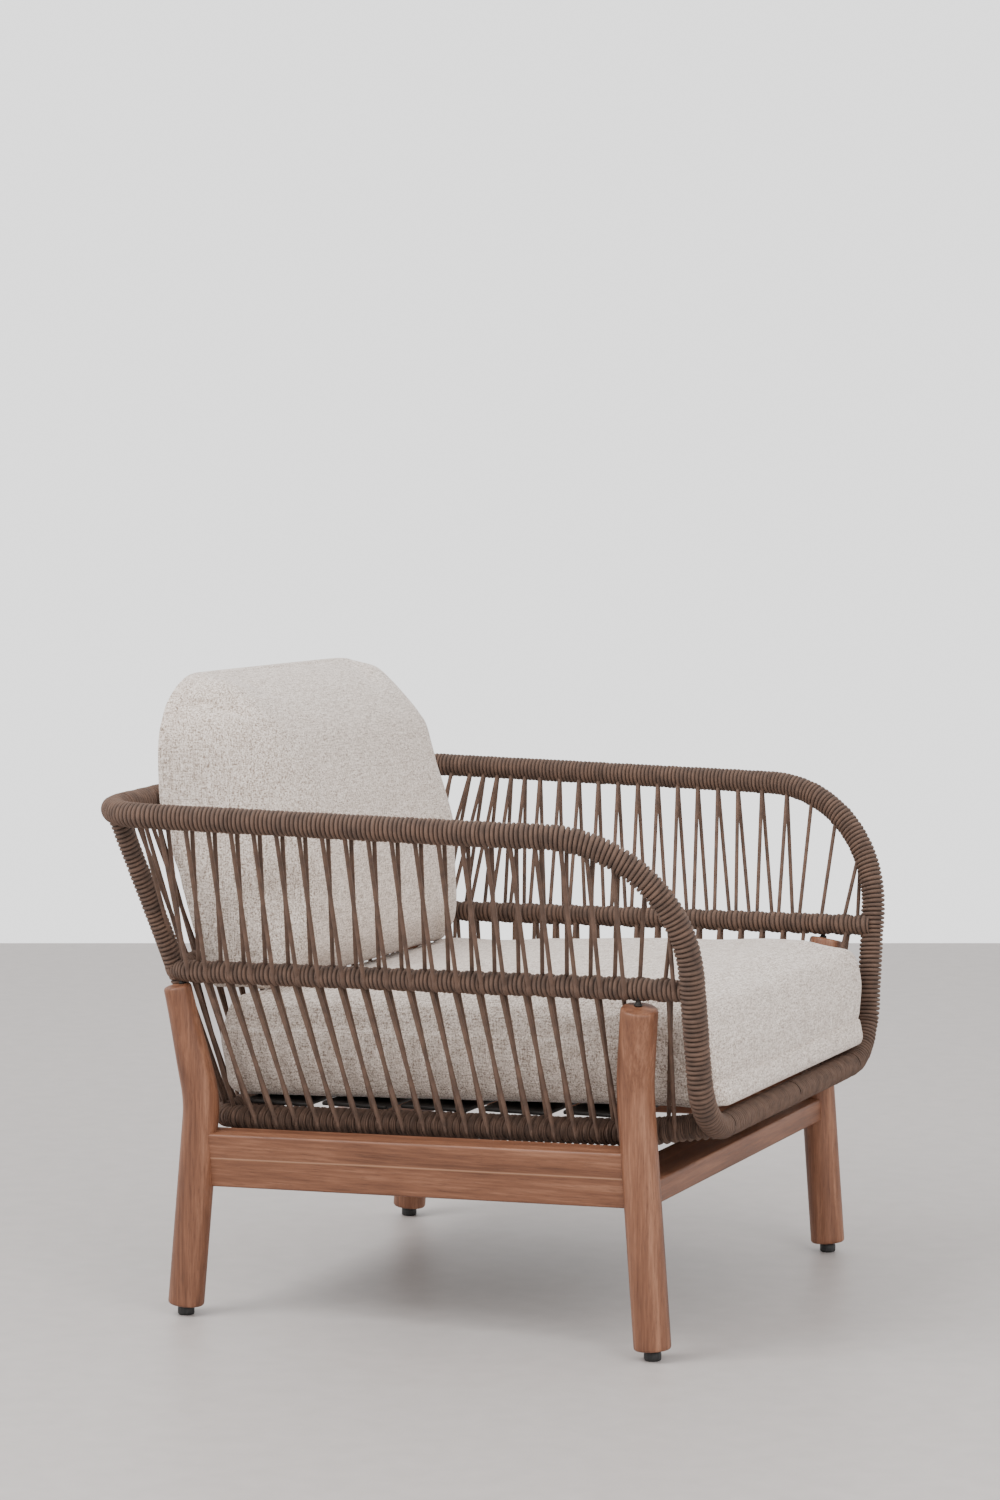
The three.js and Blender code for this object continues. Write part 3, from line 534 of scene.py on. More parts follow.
def slice_middle(node, axis, value):
    """The middle of a CAD node's section across an axis."""
    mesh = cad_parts[node].data
    places = np.array([v.co for v in mesh.vertices])
    edges = np.array([e.vertices for e in mesh.edges])
    first, second = places[edges[:, 0]], places[edges[:, 1]]
    side = (first[:, axis] - value) * (second[:, axis] - value) < 0
    first, second = first[side], second[side]
    share = (value - first[:, axis]) / (second[:, axis] - first[:, axis])
    cut = first + share[:, None] * (second - first)
    return (cut.min(0) + cut.max(0)) / 2


def leg_axis(name):
    """Points along a leg's middle line, from the floor to its top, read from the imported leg."""
    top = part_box(name)[1].z
    lower = [slice_middle(name, 2, height) for height in (0.03, 0.14)]
    upper = [slice_middle(name, 2, height) for height in (top - 0.075, top - 0.035)]
    rise = unit(lower[1] - lower[0])
    lean = unit(upper[1] - upper[0])
    offset = upper[0] - lower[0]
    reach = np.linalg.lstsq(np.stack([rise, -lean], 1), offset, rcond=None)[0]
    knee = (lower[0] + rise * reach[0] + upper[0] + lean * reach[1]) / 2
    foot = lower[0] - rise * (lower[0][2] / rise[2])
    tip = upper[1] + lean * (top - 0.003 - upper[1][2]) / lean[2]
    return bent([p - SHIFT for p in (foot, knee, tip)], [KNEE_BEND], 10)


def round_end(distance, fillet):
    """How far a round bar's rim stands in at a distance from its end."""
    inside = np.clip((fillet - distance) / fillet, 0, 1)
    return fillet * (1 - np.sqrt(1 - inside**2))


def lathe(name, stations, material, sides):
    """A closed round piece from rings: (centre, direction, radius)."""
    verts = []
    helper = np.array([1.0, 0, 0])
    for centre, direction, radius in stations:
        a = unit(helper - direction * (helper @ direction))
        b = np.cross(direction, a)
        for k in range(sides):
            angle = 2 * np.pi * k / sides
            verts.append(centre + radius * (math.cos(angle) * a + math.sin(angle) * b))
    made = piece(name, verts, tube_faces(len(stations), sides), material)
    for polygon in list(made.data.polygons)[-2:]:
        polygon.use_smooth = False
    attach(made, "chair")
    return made


def leg(name, top_radius):
    """A kinked round leg with softened ends. The rear legs taper above the knee."""
    route = Route(leg_axis(name), (1, 0, 0), 0.004)
    start = (GLIDE_HEIGHT + 0.0003) / unit(route.tangents[0])[2]
    steps = np.array([0, 0.0004, 0.001, 0.002, LEG_FILLET])
    s = np.r_[start + steps, np.linspace(start + 0.01, route.length - 0.01, 70), route.length - steps[::-1]]
    knee = route.nearest(2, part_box(name)[1].z - TAPER_LENGTH)
    stations = []
    for at in s:
        share = np.clip((at - knee) / (route.length - knee), 0, 1)
        radius = LEG_RADIUS + (top_radius - LEG_RADIUS) * share * share * (3 - 2 * share)
        radius -= round_end(at - start, LEG_FILLET) + round_end(route.length - at, LEG_FILLET)
        stations.append((route.look_up(route.points, at), route.look_up(route.tangents, at), radius))
    made = lathe(f"turned_{name}", stations, WOOD_UP, LEG_SIDES)
    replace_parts(made, name)
    return route


def soft_box(name, size, place, turn, bevel, material):
    """A bar with rounded edges. turn is (about x, about y), applied about its middle."""
    mesh = bpy.data.meshes.new(name)
    bm = bmesh.new()
    bmesh.ops.create_cube(bm, size=1)
    bmesh.ops.scale(bm, vec=size, verts=bm.verts)
    bmesh.ops.bevel(bm, geom=bm.edges[:], offset=bevel, segments=4, profile=0.5, affect="EDGES")
    lean = Matrix.Rotation(turn[1], 4, "Y")
    tilt = Matrix.Rotation(turn[0], 4, "X")
    bmesh.ops.transform(bm, matrix=Matrix.Translation(place) @ tilt @ lean, verts=bm.verts)
    bm.to_mesh(mesh)
    bm.free()
    mesh.polygons.foreach_set("use_smooth", [True] * len(mesh.polygons))
    mesh.materials.append(material)
    made = bpy.data.objects.new(name, mesh)
    bpy.context.scene.collection.objects.link(made)
    made.modifiers.new("shade", "WEIGHTED_NORMAL")
    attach(made, "chair")
    return made


def rail_streak(n):
    """A painted highlight: a thin pale line along the middle of a side rail, where a ridge on its face
    would catch the light.
    """
    place = n.add("ShaderNodeTexCoord").outputs["Object"]
    split = n.add("ShaderNodeSeparateXYZ", {"Vector": place})
    low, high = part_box("side_rail_left")
    fall = HIGHLIGHT_FALL / (high.y - low.y)
    wobble = n.math("MULTIPLY", n.noise(n.mapping((3, 3, 3)), 1.0, 1.0), 0.004)
    along = n.math("MULTIPLY", split.outputs["Y"], fall)
    height = n.math("ADD", n.math("ADD", split.outputs["Z"], along), wobble)
    away = n.math("ABSOLUTE", n.math("SUBTRACT", height, (low.z + high.z) / 2 + 0.002))
    return n.math("SUBTRACT", 1.0, n.math("DIVIDE", away, HIGHLIGHT_HALF_WIDTH), clamp=True)


WOOD_UP = wood_material("oiled_wood_upright", (150, 150, 7))
# The side rails get a painted highlight, a pale line along their middle.
WOOD_ALONG = wood_material("oiled_wood_side", (150, 7, 150), rail_streak)
WOOD_ACROSS = wood_material("oiled_wood_cross", (7, 150, 150))


def base():
    """Legs, rails, glides and pins. Returns the legs' routes."""
    routes = []
    for side, sign in SIDES.items():
        routes.append(leg(f"leg_front_{side}", LEG_RADIUS))
        routes.append(leg(f"leg_rear_{side}", REAR_LEG_TOP_RADIUS))
        node = f"side_rail_{side}"
        low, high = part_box(node)
        front, rear = slice_middle(node, 1, low.y + 0.06), slice_middle(node, 1, high.y - 0.06)
        tilt = math.atan2(rear[2] - front[2], rear[1] - front[1])
        size = (RAIL_THICKNESS, high.y - low.y - 0.002, RAIL_DEPTH)
        turn = (tilt, sign * RAIL_LEAN)
        rail = soft_box(f"planed_{node}", size, (low + high) / 2, turn, RAIL_ROUND, WOOD_ALONG)
        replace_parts(rail, node)
    for node in ("front_rail", "rear_rail"):
        low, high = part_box(node)
        size = (high.x - low.x, RAIL_DEPTH, RAIL_THICKNESS)
        rail = soft_box(f"planed_{node}", size, (low + high) / 2, (0, 0), RAIL_ROUND, WOOD_ACROSS)
        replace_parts(rail, node)
    for node in sorted(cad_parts):
        low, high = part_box(node)
        centre = np.array((low + high) / 2)
        up = np.array([0, 0, 1.0])
        if node.startswith("glide"):
            profile = [(0, 0.0082), (0.0006, 0.0093), (0.002, 0.010), (0.0085, 0.010), (0.0095, 0.0094)]
            profile += [(0.0117, 0.0094), (0.0118, 0.004), (high.z - 0.001, 0.004), (high.z, 0.003)]
            stations = [(np.array([centre[0], centre[1], z]), up, r) for z, r in profile]
            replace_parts(lathe(f"moulded_{node}", stations, PLASTIC, 32), node)
        if node.startswith("leg_pin"):
            leg_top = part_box(node.replace("leg_pin", "leg"))[1].z
            profile = [(low.z, 0.003), (leg_top - 0.002, 0.003), (leg_top - 0.002, 0.0047)]
            profile += [(leg_top + 0.0002, 0.0047), (leg_top + 0.0010, 0.0040), (leg_top + 0.0014, 0.0031)]
            profile += [(high.z - 0.004, 0.0031), (high.z - 0.003, 0.0040), (high.z, 0.0044)]
            stations = [(np.array([centre[0], centre[1], z]), up, r) for z, r in profile]
            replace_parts(lathe(f"turned_{node}", stations, METAL, 24), node)
        if node.startswith("deck_slat"):
            place = (low + high) / 2
            slat = soft_box(f"rolled_{node}", high - low, place, (0, 0), SLAT_ROUND, METAL)
            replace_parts(slat, node)
    return routes


LEG_ROUTES = base()


# ---------------------------------------------------------------- rope panels
PANEL_FRONT_Y = -0.333 + SHIFT[1]
HOOP_FRONT_Y = -0.343 + SHIFT[1]
TOP_CORNER_Y = 0.254 + SHIFT[1]
MID_CORNER_Y = 0.276 + SHIFT[1]
RING_CORNER_Y = 0.241 + SHIFT[1]
# How far a side stretch keeps from the middle of the back.
BACK_MIDDLE_ROOM = 0.05
# Each rail's side: the route, the room its front end takes, and where a panel on it starts and ends.
SIDE_STRETCHES = [
    (TOP, 0.46, TOP_CORNER_Y, HOOP_FRONT_Y),
    (MID, 0.0, MID_CORNER_Y, PANEL_FRONT_Y),
    (RING, 0.05, RING_CORNER_Y, PANEL_FRONT_Y),
]


def side_place(stretch, sign, share):
    """The distance along a route of a place on its side stretch, by its share of the panel's depth."""
    route, room, rear_y, front_y = stretch
    if sign < 0:
        inside = (route.at >= room) & (route.at <= route.length / 2 - BACK_MIDDLE_ROOM)
    else:
        inside = (route.at >= route.length / 2 + BACK_MIDDLE_ROOM) & (route.at <= route.length - room)
    at, depth = route.at[inside], route.points[inside, 1]
    order = np.argsort(depth, kind="stable")
    return np.interp(rear_y + share * (front_y - rear_y), depth[order], at[order])


def back_end(route):
    """How far the straight back stretch of a route reaches each side of its middle."""
    node = {id(TOP): "back_top_tube", id(MID): "mid_tube_back", id(RING): "ring_tube_back"}[id(route)]
    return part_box(node)[1].x


# On the left the strands' top ends are knotted further back, as a share of the panel's depth.
LAG = {"right": (0, 0, 0), "left": (-0.075, 0, 0)}
FADE_LENGTH = 0.25
CORNER_SHARES = (0.12, 0.37, 0.63, 0.88)


def fade(share):
    """1 along a panel, falling to 0 at its ends."""
    return min(1, share / FADE_LENGTH, (1 - share) / FADE_LENGTH)


def pairs():
    """Every pair of strands in each panel, as its places on the top, middle and ring routes."""
    found = {"right": [], "back": [], "left": [], "corner_right": [], "corner_left": []}
    side_count = round((MID_CORNER_Y - PANEL_FRONT_Y) / STRAND_PITCH)
    back_count = round(2 * back_end(MID) / STRAND_PITCH)
    for side, sign in SIDES.items():
        for i in range(side_count):
            share = (i + 0.5) / side_count
            places = []
            for stretch, lag in zip(SIDE_STRETCHES, LAG[side]):
                places.append(side_place(stretch, sign, share + lag * fade(share)))
            found[side].append(places)
        for share in CORNER_SHARES:
            places = []
            for stretch in SIDE_STRETCHES:
                route = stretch[0]
                first, last = side_place(stretch, sign, 0), route.length / 2 + sign * back_end(route)
                places.append(first + share * (last - first))
            found[f"corner_{side}"].append(places)
    for i in range(back_count):
        share = (i + 0.5) / back_count - 0.5
        found["back"].append([r.length / 2 + 2 * share * back_end(r) for r in (TOP, MID, RING)])
    return found


LEG_ROOM = 0.0024


def clear_of_legs(points):
    """True if a cord along points stays clear of the legs and of the pins on them."""
    for route in LEG_ROUTES:
        tip = route.points[-1]
        pin = tip + np.linspace(0, 1, 12)[:, None] * np.array([0, 0, 0.02])
        for line, reach in ((route.points[::4], LEG_RADIUS - 0.003), (pin, 0.006)):
            gaps = np.linalg.norm(points[:, None] - line[None], axis=2)
            if gaps.min() < reach + LEG_ROOM:
                return False
    return True


def curve(points, steps):
    """A smooth line through points, with steps from each to the next."""
    p = np.vstack([2 * points[0] - points[1], points, 2 * points[-1] - points[-2]])
    out = []
    for i in range(1, len(p) - 2):
        for k in range(steps):
            t = k / steps
            a, b, c, d = p[i - 1 : i + 3]
            square = (2 * a - 5 * b + 4 * c - d) * t**2
            cube = (3 * b - a - 3 * c + d) * t**3
            out.append((2 * b + (c - a) * t + square + cube) / 2)
    out.append(p[-2])
    return np.array(out)


def strand_pair(bundle, upper, s_upper, upper_wrap, lower, s_lower, lower_wrap, hand, rng):
    """Two strands from an upper to a lower rail, crossing on the way. The outer one runs down over the
    lower rail's face, the inner one goes in at its top. hand is the way the outer one starts out."""
    spread, apart = (PAIR_SPREAD, END_APART) if upper is TOP else (LOWER_SPREAD, LOWER_END_APART)
    for side in (-1, 1):
        start = upper.look_up(upper.points, s_upper + hand * side * spread / 2)
        shift = hand * side * apart + rng.normal(0, 0.0006)
        end = lower.look_up(lower.points, s_lower - shift)
        down = unit(end - start)
        along = lower.look_up(lower.tangents, s_lower)
        out = unit(lower.look_up(lower.normals, s_lower))
        out = unit(out - along * (out @ along))
        face = unit(out - down * (out @ down))
        under = start + down * (upper_wrap - STRAND_SUNK)
        if side > 0:
            reach = lower_wrap - STRAND_RADIUS + STRAND_PROUD
            first = under + face * OUTER_START
            bow = []
            for angle in np.radians([22, 0, -30, -60]):
                bow.append(end + reach * (math.cos(angle) * face - math.sin(angle) * down))
            sunk = end + (reach - 0.004) * (math.cos(1.5) * face + math.sin(1.5) * down)
            straight = [first + (bow[0] - first) * t for t in (0, 0.02, 0.25, 0.5, 0.75, 0.97)]
            points = curve(np.array(straight + bow + [sunk]), 3)
        else:
            last = end - face * INNER_END - down * (lower_wrap - 0.005)
            points = np.linspace(under - face * INNER_START, last, 12)
        if clear_of_legs(points):
            bundle.add(points)


# The way along its rail in which the outer strand of each pair starts.
HAND = {"right": 1, "corner_right": 1, "back": 1, "corner_left": -1, "left": -1}


def string_panels():
    """Strands of the upper and lower fields, one piece for each CAD panel."""
    rng = np.random.default_rng(5)
    found = pairs()
    nodes = {"right": "rope_side_{}_right", "left": "rope_side_{}_left", "back": "rope_back_{}"}
    for place, rows in found.items():
        for level in ("upper", "lower"):
            bundle = Bundle()
            for top, mid, ring in rows:
                if level == "upper":
                    strand_pair(bundle, TOP, top, MAIN_WRAP, MID, mid, MID_WRAP, HAND[place], rng)
                else:
                    strand_pair(bundle, MID, mid, MID_WRAP, RING, ring, RING_WRAP, HAND[place], rng)
            replaced = [nodes[place].format(level)] if place in nodes else []
            bundle.piece(f"strands_{place}_{level}", *replaced)
    return found


FOUND_PAIRS = string_panels()


def wind_rails():
    """The rope on the middle and ring rails, bunched between the strands."""
    # Name, route, its place in a pair, how far apart strands end on it, then the winding's measures.
    settings = [
        ("mid", MID, 1, END_APART, 0.0078, 0.0042, 0.0020, 0.0014),
        ("ring", RING, 2, LOWER_END_APART, 0.0076, 0.0044, 0.0040, 0.0030),
    ]
    for name, route, column, apart, core, depth, height, lean in settings:
        right = np.sort([row[column] for row in FOUND_PAIRS["right"]])
        left = np.sort([row[column] for row in FOUND_PAIRS["left"]])
        back = np.array([row[column] for row in FOUND_PAIRS["back"]])
        rear = {"right": right.max() + STRAND_PITCH / 2, "left": left.min() - STRAND_PITCH / 2}
        spans = {
            "right": (0.0, rear["right"], right),
            "corner_right": (rear["right"], back.min() - STRAND_PITCH / 2, None),
            "back": (back.min() - STRAND_PITCH / 2, back.max() + STRAND_PITCH / 2, back),
            "corner_left": (back.max() + STRAND_PITCH / 2, rear["left"], None),
            "left": (rear["left"], route.length, left),
        }
        for k, (place, (start, end, marks)) in enumerate(spans.items()):
            if marks is None:
                group = ((end - start) / 3, start, height * 0.6)
            else:
                period = abs(marks[1] - marks[0])
                group = (period, marks[0] - HAND[place] * apart, height)
            seed = 30 + 10 * column + k
            made = wind(f"wound_{name}_{place}", route, start, end, core, seed, group, lean, depth)
            if place.startswith("corner"):
                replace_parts(made, f"rope_{place.replace('_', f'_{name}_')}")


wind_rails()


# A post's line is read this far from its ends, and the rope on it reaches further, into the rails' rope.
POST_CUT = 0.03
POST_REACH = 0.045


def wind_posts():
    """The rope on the short posts behind the rear corners."""
    for side, sign in SIDES.items():
        node = f"corner_post_{side}"
        low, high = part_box(node)
        foot = slice_middle(node, 2, low.z + POST_CUT)
        above = slice_middle(node, 2, high.z - POST_CUT)
        reach = unit(above - foot) * POST_REACH
        route = Route(np.array([foot - reach, above + reach]), (sign, 0, 0))
        made = wind(f"wound_{node}", route, 0.0, route.length, THIN_TUBE_RADIUS, 70 + sign)
        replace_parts(made, f"wrap_{node}")


wind_posts()


# ---------------------------------------------------------------- cushions
SEAM_GROOVE = 0.0030
# The seat cushion falls to the back, less on top than underneath.
SEAT_TOP_FALL = 0.0302
SEAT_BOTTOM_FALL = 0.0405
SEAT_ROUND = 0.022
SEAT_SEAM_Z = 0.352
SEAT_SEAM_DIP = 0.055
SEAT_SEAM_LEVEL = 0.4
SEAT_CROWN = 0.007
SEAT_NOSE = 0.020
SEAT_NOSE_HEIGHT = 0.060
SEAT_UNDERSIDE_SHARE = 0.925
BACK_TOP_CORNER = 0.088
BACK_FOOT_CORNER = 0.030
BACK_CROWN = 0.010
BACK_SAG = 0.011


def box_skin(cells):
    """Points and faces on the surface of a cube from -1 to 1, cells being its columns each way."""
    index, points, faces = {}, [], []

    def corner(key):
        if key not in index:
            index[key] = len(points)
            points.append([2 * key[k] / cells[k] - 1 for k in range(3)])
        return index[key]

    for axis in range(3):
        a, b = (axis + 1) % 3, (axis + 2) % 3
        for end in (0, cells[axis]):
            for i in range(cells[a]):
                for j in range(cells[b]):
                    ring = []
                    for di, dj in ((0, 0), (1, 0), (1, 1), (0, 1)):
                        key = [0, 0, 0]
                        key[axis], key[a], key[b] = end, i + di, j + dj
                        ring.append(corner(tuple(key)))
                    faces.append(ring if end else ring[::-1])
    return np.array(points), faces


def rounded(skin, half, radius):
    """The cube's skin as a box of half sizes with round edges."""
    half = np.array(half)
    p = skin * half
    core = np.clip(p, -(half - radius), half - radius)
    away = p - core
    length = np.linalg.norm(away, axis=1, keepdims=True)
    return core + away / np.maximum(length, 1e-9) * radius * np.where(length > 0, 1, 0)


def smooth_step(x):
    x = np.clip(x, 0, 1)
    return x * x * (3 - 2 * x)


def ripples(p, rng, count, length, size):
    """Soft random folds over points p: count waves, each of about a length, up to a size high."""
    total = np.zeros(len(p))
    for _ in range(count):
        direction = unit(rng.normal(size=3)) * 2 * np.pi / (length * rng.uniform(0.6, 1.8))
        total += np.sin(p @ direction + rng.uniform(0, 2 * np.pi))
    return total * size / count**0.5


def cushion(name, node, points, faces, body, pinned):
    """A padded piece from a skin: swollen by cloth simulation between its pinned seams."""
    made = piece(name, points, faces, LINEN)
    swell(made, pinned)
    made.modifiers.new("fine", "SUBSURF").levels = 1
    made.modifiers["fine"].render_levels = 1
    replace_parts(made, node)
    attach(made, body)
    return made


def swell(made, pinned, pressure=4.0, frames=20, most=0.012):
    """Runs the cloth simulation on a piece and applies it evened out. No point moves further than most."""
    rest = np.array([v.co for v in made.data.vertices])
    group = made.vertex_groups.new(name="seams")
    group.add([int(i) for i in np.flatnonzero(pinned)], 1.0, "REPLACE")
    cloth = made.modifiers.new("cloth", "CLOTH")
    cloth.settings.use_pressure = True
    cloth.settings.uniform_pressure_force = pressure
    cloth.settings.vertex_group_mass = "seams"
    cloth.settings.effector_weights.gravity = 0
    cloth.settings.quality = 5
    cloth.point_cache.frame_end = frames
    for step in range(1, frames + 1):
        bpy.context.scene.frame_set(step)
    evaluated = made.evaluated_get(bpy.context.evaluated_depsgraph_get())
    moved = np.array([v.co for v in evaluated.data.vertices]) - rest
    made.modifiers.remove(cloth)
    made.vertex_groups.remove(group)
    bpy.context.scene.frame_set(1)
    ends = np.array([e.vertices for e in made.data.edges])
    weight = np.bincount(ends.ravel(), minlength=len(rest))[:, None]
    for _ in range(6):
        total = np.zeros_like(moved)
        np.add.at(total, ends[:, 0], moved[ends[:, 1]])
        np.add.at(total, ends[:, 1], moved[ends[:, 0]])
        moved = np.where(pinned[:, None], moved, 0.4 * moved + 0.6 * total / weight)
    length = np.linalg.norm(moved, axis=1, keepdims=True)
    moved *= np.minimum(1, most / np.maximum(length, 1e-9))
    made.data.vertices.foreach_set("co", (rest + moved).astype(np.float32).ravel())
    made.data.update()


def seam_rows(count, seam, spread):
    """Rows from -1 to 1 drawn together round a seam, and how deep the seam's groove is at each."""
    rows = np.linspace(-1, 1, count + 1)
    k = int(np.argmin(np.abs(rows - seam)))
    placed = rows.copy()
    placed[k - 2 : k + 3] = seam + spread * np.array([-3, -1, 0, 1, 3])
    groove = np.zeros(count + 1)
    groove[k - 1 : k + 2] = (0.55, 1, 0.55)
    return rows, placed, groove


def seat_cushion():
    low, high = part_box("seat_cushion")
    middle = np.array((low + high) / 2)
    half = np.array((high - low) / 2)
    cells = (72, 78, 20)
    skin, faces = box_skin(cells)
    # The seam runs round the sides and dips below the front.
    depth = skin[:, 1] * half[1] + middle[1]
    dip = smooth_step((low.y + 0.060 - depth) / 0.045)
    seam = (SEAT_SEAM_Z - SEAT_SEAM_DIP * dip - middle[2]) / half[2]
    level = SEAT_SEAM_LEVEL
    rows, placed, groove = seam_rows(cells[2], level, 0.0012 / half[2])
    up = np.interp(skin[:, 2], rows, placed)
    below = (up + 1) / (1 + level) * (seam + 1) - 1
    above = seam + (up - level) / (1 - level) * (1 - seam)
    shaped = np.stack([skin[:, 0], skin[:, 1], np.where(up < level, below, above)], 1)
    p = rounded(shaped, half, SEAT_ROUND)
    sunk = np.interp(skin[:, 2], rows, groove)
    outline = np.maximum(np.abs(skin[:, 0]), np.abs(skin[:, 1])) > 0.999
    x, y, z = p.T
    share = (z / half[2] + 1) / 2
    # The underside is narrower than the top. Both fall to the back.
    narrow = SEAT_UNDERSIDE_SHARE + (1 - SEAT_UNDERSIDE_SHARE) * smooth_step(share / 0.7)
    top = high.z - middle[2] - 0.0015 - SEAT_TOP_FALL * (y + half[1] - 0.06)
    bottom = low.z - middle[2] + SEAT_BOTTOM_FALL * (half[1] - y)
    to_front = smooth_step((0.060 - half[1] - y) / 0.050)
    bottom = bottom - 0.0040 * to_front
    z = bottom + share * (top - bottom)
    into = np.clip((SEAT_NOSE - (y + half[1])) / SEAT_NOSE, 0, 0.94)
    z_nose = top - SEAT_NOSE_HEIGHT
    z = np.where(z > z_nose, z_nose + (z - z_nose) * np.sqrt(1 - into**2), z)
    # Over the front bar the front hangs full, and its top corners are filled out.
    y = y - 0.013 * to_front * (1 - smooth_step(share / 0.40)) * (skin[:, 2] > -0.95)
    to_side = smooth_step((np.abs(x) / half[0] - 0.8) / 0.15)
    x = x + np.sign(x) * 0.009 * to_front * to_side * smooth_step(share)
    crown = (1 - (x / half[0]) ** 2) * (1 - (y / half[1]) ** 4) * (1 - smooth_step((y - 0.06) / 0.12))
    z = z + SEAT_CROWN * crown * smooth_step(share * 2 - 1)
    puff = np.sin(np.pi * share) * outline
    side = np.sign(x) * (np.abs(skin[:, 0]) > 0.95)
    x = x * narrow + side * (0.003 * puff - SEAM_GROOVE * sunk * outline)
    front = skin[:, 1] < -0.95
    y = y - front * (0.007 * puff * (1 - (x / half[0]) ** 6) - SEAM_GROOVE * sunk * outline)
    p = np.stack([x, y, z], 1) + middle
    rng = np.random.default_rng(3)
    soft = ripples(p, rng, 10, 0.14, 0.0009)
    p[:, 2] += soft * smooth_step(share * 2 - 1)
    p[:, 0] += np.sign(p[:, 0]) * ripples(p, rng, 10, 0.05, 0.0007) * outline
    pinned = ((sunk > 0.9) & outline) | (skin[:, 2] < -0.999)
    pinned |= (np.abs(skin[:, 0]) > 0.97) & (skin[:, 1] < -0.97)
    return cushion("cushion_seat", "seat_cushion", p, faces, "seat_pad", pinned)


def towards_border(skin):
    """The skin's grid drawn out towards its edges, where the surface turns most."""
    return np.sign(skin) * (1 - (1 - np.abs(skin)) ** 1.6)


def back_cushion():
    low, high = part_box("back_cushion")
    middle = np.array((low + high) / 2)
    width, height = (high.x - low.x) / 2, (high.z - low.z) / 2
    cells = (72, 18, 52)
    skin, faces = box_skin(cells)
    rows, placed, groove = seam_rows(cells[1], 0.11, 0.055)
    along = np.interp(skin[:, 1], rows, placed)
    sunk = np.interp(skin[:, 1], rows, groove)
    # The outline from the front: a box with large round top corners.
    x, z = towards_border(skin[:, 0]) * width, towards_border(skin[:, 2]) * height
    inside = np.minimum(width - np.abs(x), height - np.abs(z))
    corner = np.where(z > 0, BACK_TOP_CORNER, BACK_FOOT_CORNER)
    inner_x = np.clip(x, corner - width, width - corner)
    inner_z = np.clip(z, corner - height, height - corner)
    away = np.hypot(x - inner_x, z - inner_z)
    square = np.maximum(np.abs(x - inner_x), np.abs(z - inner_z))
    scale = np.where(away > 1e-9, square / np.maximum(away, 1e-9), 1)
    x = inner_x + (x - inner_x) * scale
    z = inner_z + (z - inner_z) * scale
    up = (z + height) / (2 * height)
    # The front turns round its edge within a distance of the outline that grows with height.
    turn = 0.026 + 0.058 * smooth_step(up / 0.3)
    full = np.sqrt(np.clip(1 - np.clip(1 - inside / turn, 0, 1) ** 2, 0, 1))
    # Front and rear surfaces, by height.
    levels = (0, 0.10, 0.26, 0.42, 0.58, 0.74, 0.90, 1)
    front_line = low.y + np.array((0.008, 0.0, -0.006, -0.008, 0.006, 0.028, 0.054, 0.070))
    rear_line = high.y - np.array((0.060, 0.056, 0.040, 0.022, 0.002, 0.0, 0.002, 0.006))
    fine = np.linspace(0, 1, 101)
    kernel = np.ones(9) / 9
    front_line, rear_line = (
        np.convolve(np.pad(np.interp(fine, levels, line), 4, mode="edge"), kernel, "valid")
        for line in (front_line, rear_line)
    )
    front, rear = np.interp(up, fine, front_line), np.interp(up, fine, rear_line)
    to_rear = smooth_step(up / 0.25)
    edge = (front + 0.018) * (1 - to_rear) + (rear - 0.040) * to_rear
    dome = BACK_CROWN * (1 - (x / width) ** 2) * np.sin(np.pi * up)
    front = edge - (edge - front + dome) * full
    y = front + (rear - front) * (along + 1) / 2
    outline = (np.abs(skin[:, 0]) > 0.999) | (np.abs(skin[:, 2]) > 0.999)
    # Drawn in at the seam and at the seat.
    inset = 1 - (SEAM_GROOVE * sunk * outline) / np.maximum(np.hypot(x, z), 0.01)
    waist = 1 - 0.040 * (1 - smooth_step(up / 0.22))
    p = np.stack([x * inset * waist, y, z * inset + middle[2]], 1)
    p[:, 2] += np.clip(1 - up, 0, 1) ** 4 * SEAT_TOP_FALL * np.clip(high.y - 0.062 - y, 0, 1)
    # The front of the foot sags down onto the seat.
    p[:, 2] -= BACK_SAG * np.clip(1 - up, 0, 1) ** 6 * smooth_step((0.26 - y) / 0.04)
    rng = np.random.default_rng(4)
    p[:, 1] += ripples(p, rng, 12, 0.15, 0.0011) * (along < 0)
    # Small creases that run in from the side seams.
    near = np.exp(-(width - np.abs(x)) / 0.050) * (1 - 0.6 * outline)
    waves = ((0.023, 0.1), (0.037, 0.6), (0.061, 0.3))
    crease = sum(np.sin(2 * np.pi * (p[:, 2] / size + start)) for size, start in waves)
    wander = 0.5 + 0.5 * np.sin(p[:, 2] * 31 + skin[:, 0] * 2)
    p[:, 1] += 0.0010 * crease * near * wander * np.sin(np.pi * np.clip(up, 0, 1))
    pinned = ((sunk > 0.9) & outline) | ((skin[:, 1] > 0.999) & outline)
    return cushion("cushion_back", "back_cushion", p, faces, "back_pad", pinned)


seat_cushion()
back_cushion()


# ---------------------------------------------------------------- the CAD nodes that stay
for node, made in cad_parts.items():
    material = WOOD_UP if node.startswith("dowel") else METAL
    made.data.materials.clear()
    made.data.materials.append(material)


# ---------------------------------------------------------------- stage, light and camera
CAMERA_TILT = 85.85
CAMERA_TURN = -66.92
FLOOR_TURN = -66.9
FLOOR_HALF_SIZE = 3.3


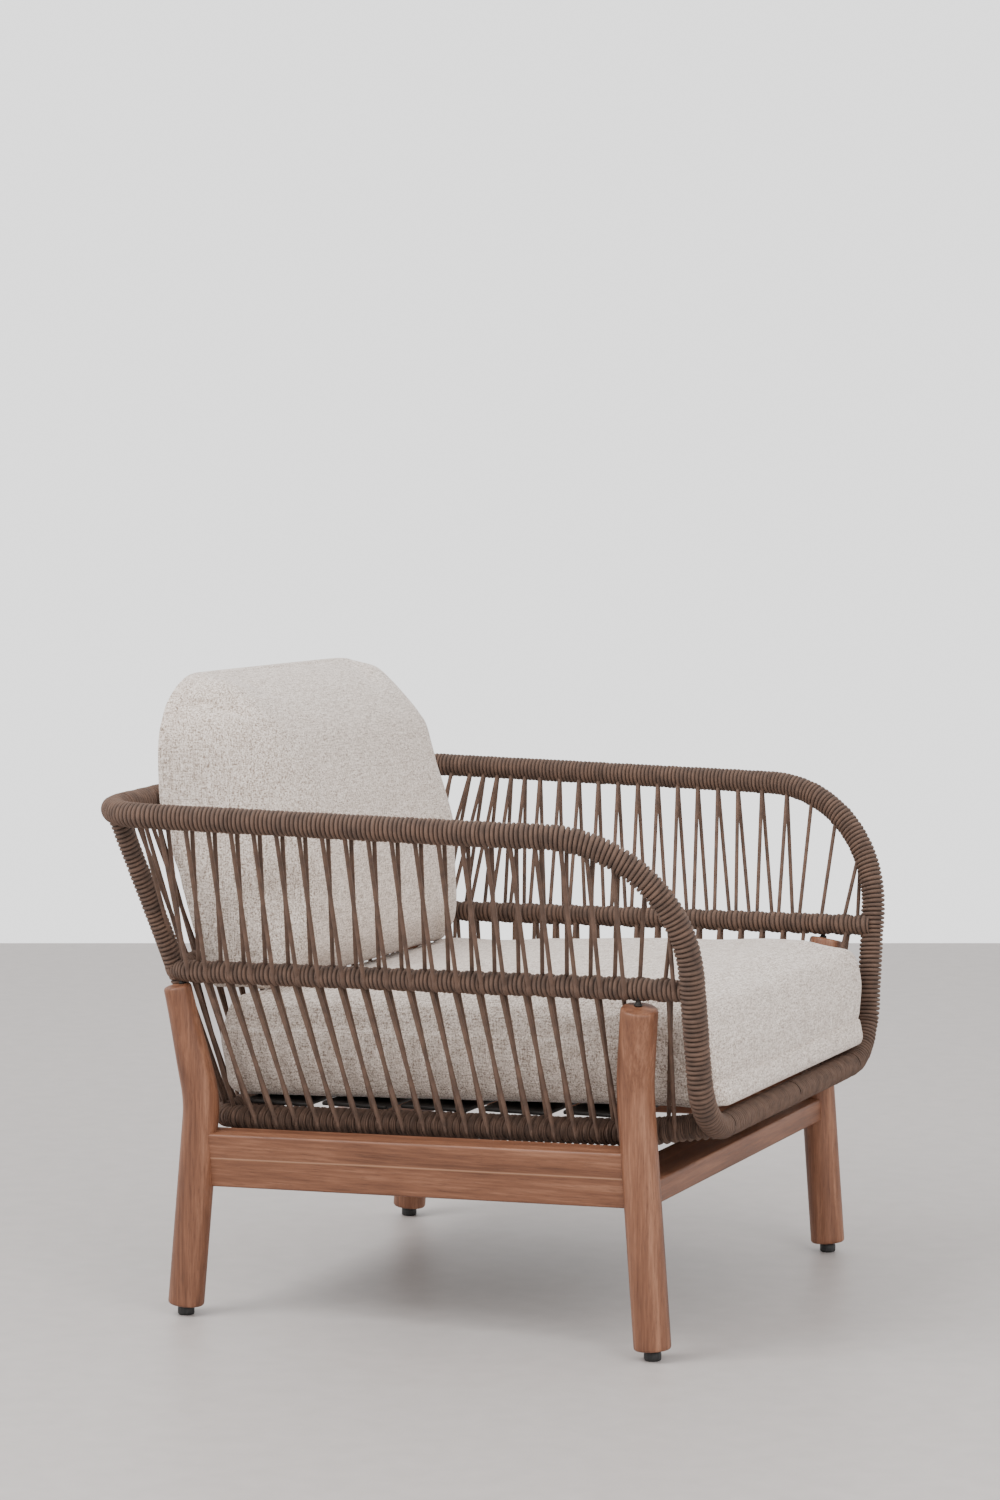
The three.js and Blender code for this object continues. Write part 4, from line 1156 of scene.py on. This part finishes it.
def stage():
    mesh = bpy.data.meshes.new("floor")
    made = bpy.data.objects.new("floor", mesh)
    bm = bmesh.new()
    bmesh.ops.create_grid(bm, x_segments=1, y_segments=1, size=FLOOR_HALF_SIZE)
    bm.to_mesh(mesh)
    bm.free()
    bpy.context.scene.collection.objects.link(made)
    n = Nodes("pale_floor")
    grain = n.noise(n.mapping((30, 30, 30)), 1.0, 5.0)
    colour = n.ramp(grain, [(0.3, (0.47, 0.435, 0.415)), (0.7, (0.51, 0.472, 0.452))])
    n.surface(Base_Color=colour, Roughness=0.45, Normal=n.bump(grain, 0.0005, 0.2))
    mesh.materials.append(n.material)
    made.rotation_euler = (0, 0, math.radians(FLOOR_TURN))


def lights():
    world = bpy.data.worlds.new("studio")
    world.use_nodes = True
    tree = world.node_tree
    fill = tree.nodes["Background"]
    fill.inputs["Color"].default_value = (1.28, 1.27, 1.27, 1)
    fill.inputs["Strength"].default_value = 1.0
    wall = tree.nodes.new("ShaderNodeBackground")
    wall.inputs["Color"].default_value = (1.95, 1.95, 1.95, 1)
    path = tree.nodes.new("ShaderNodeLightPath")
    both = tree.nodes.new("ShaderNodeMixShader")
    tree.links.new(path.outputs["Is Camera Ray"], both.inputs[0])
    tree.links.new(fill.outputs[0], both.inputs[1])
    tree.links.new(wall.outputs[0], both.inputs[2])
    tree.links.new(both.outputs[0], tree.nodes["World Output"].inputs["Surface"])
    bpy.context.scene.world = world
    lamps = [
        ("key", (-2.2, 1.6, 3.4), 2.2, 125),
        ("front", (-2.4, -3.2, 2.6), 2.6, 85),
    ]
    for name, place, size, power in lamps:
        data = bpy.data.lights.new(name, "AREA")
        data.shape = "DISK"
        data.size = size
        data.energy = power
        lamp = bpy.data.objects.new(name, data)
        lamp.location = place
        direction = Vector((0, 0, 0.3)) - lamp.location
        lamp.rotation_euler = direction.to_track_quat("-Z", "Y").to_euler()
        bpy.context.scene.collection.objects.link(lamp)


def camera():
    data = bpy.data.cameras.new("camera")
    data.lens = 88.4
    data.sensor_width = 36
    data.shift_y = -0.00505
    made = bpy.data.objects.new("camera", data)
    made.location = (-4.1497, -1.7498, 0.9953)
    made.rotation_euler = (math.radians(CAMERA_TILT), 0, math.radians(CAMERA_TURN))
    bpy.context.scene.collection.objects.link(made)
    bpy.context.scene.camera = made


stage()
lights()
camera()
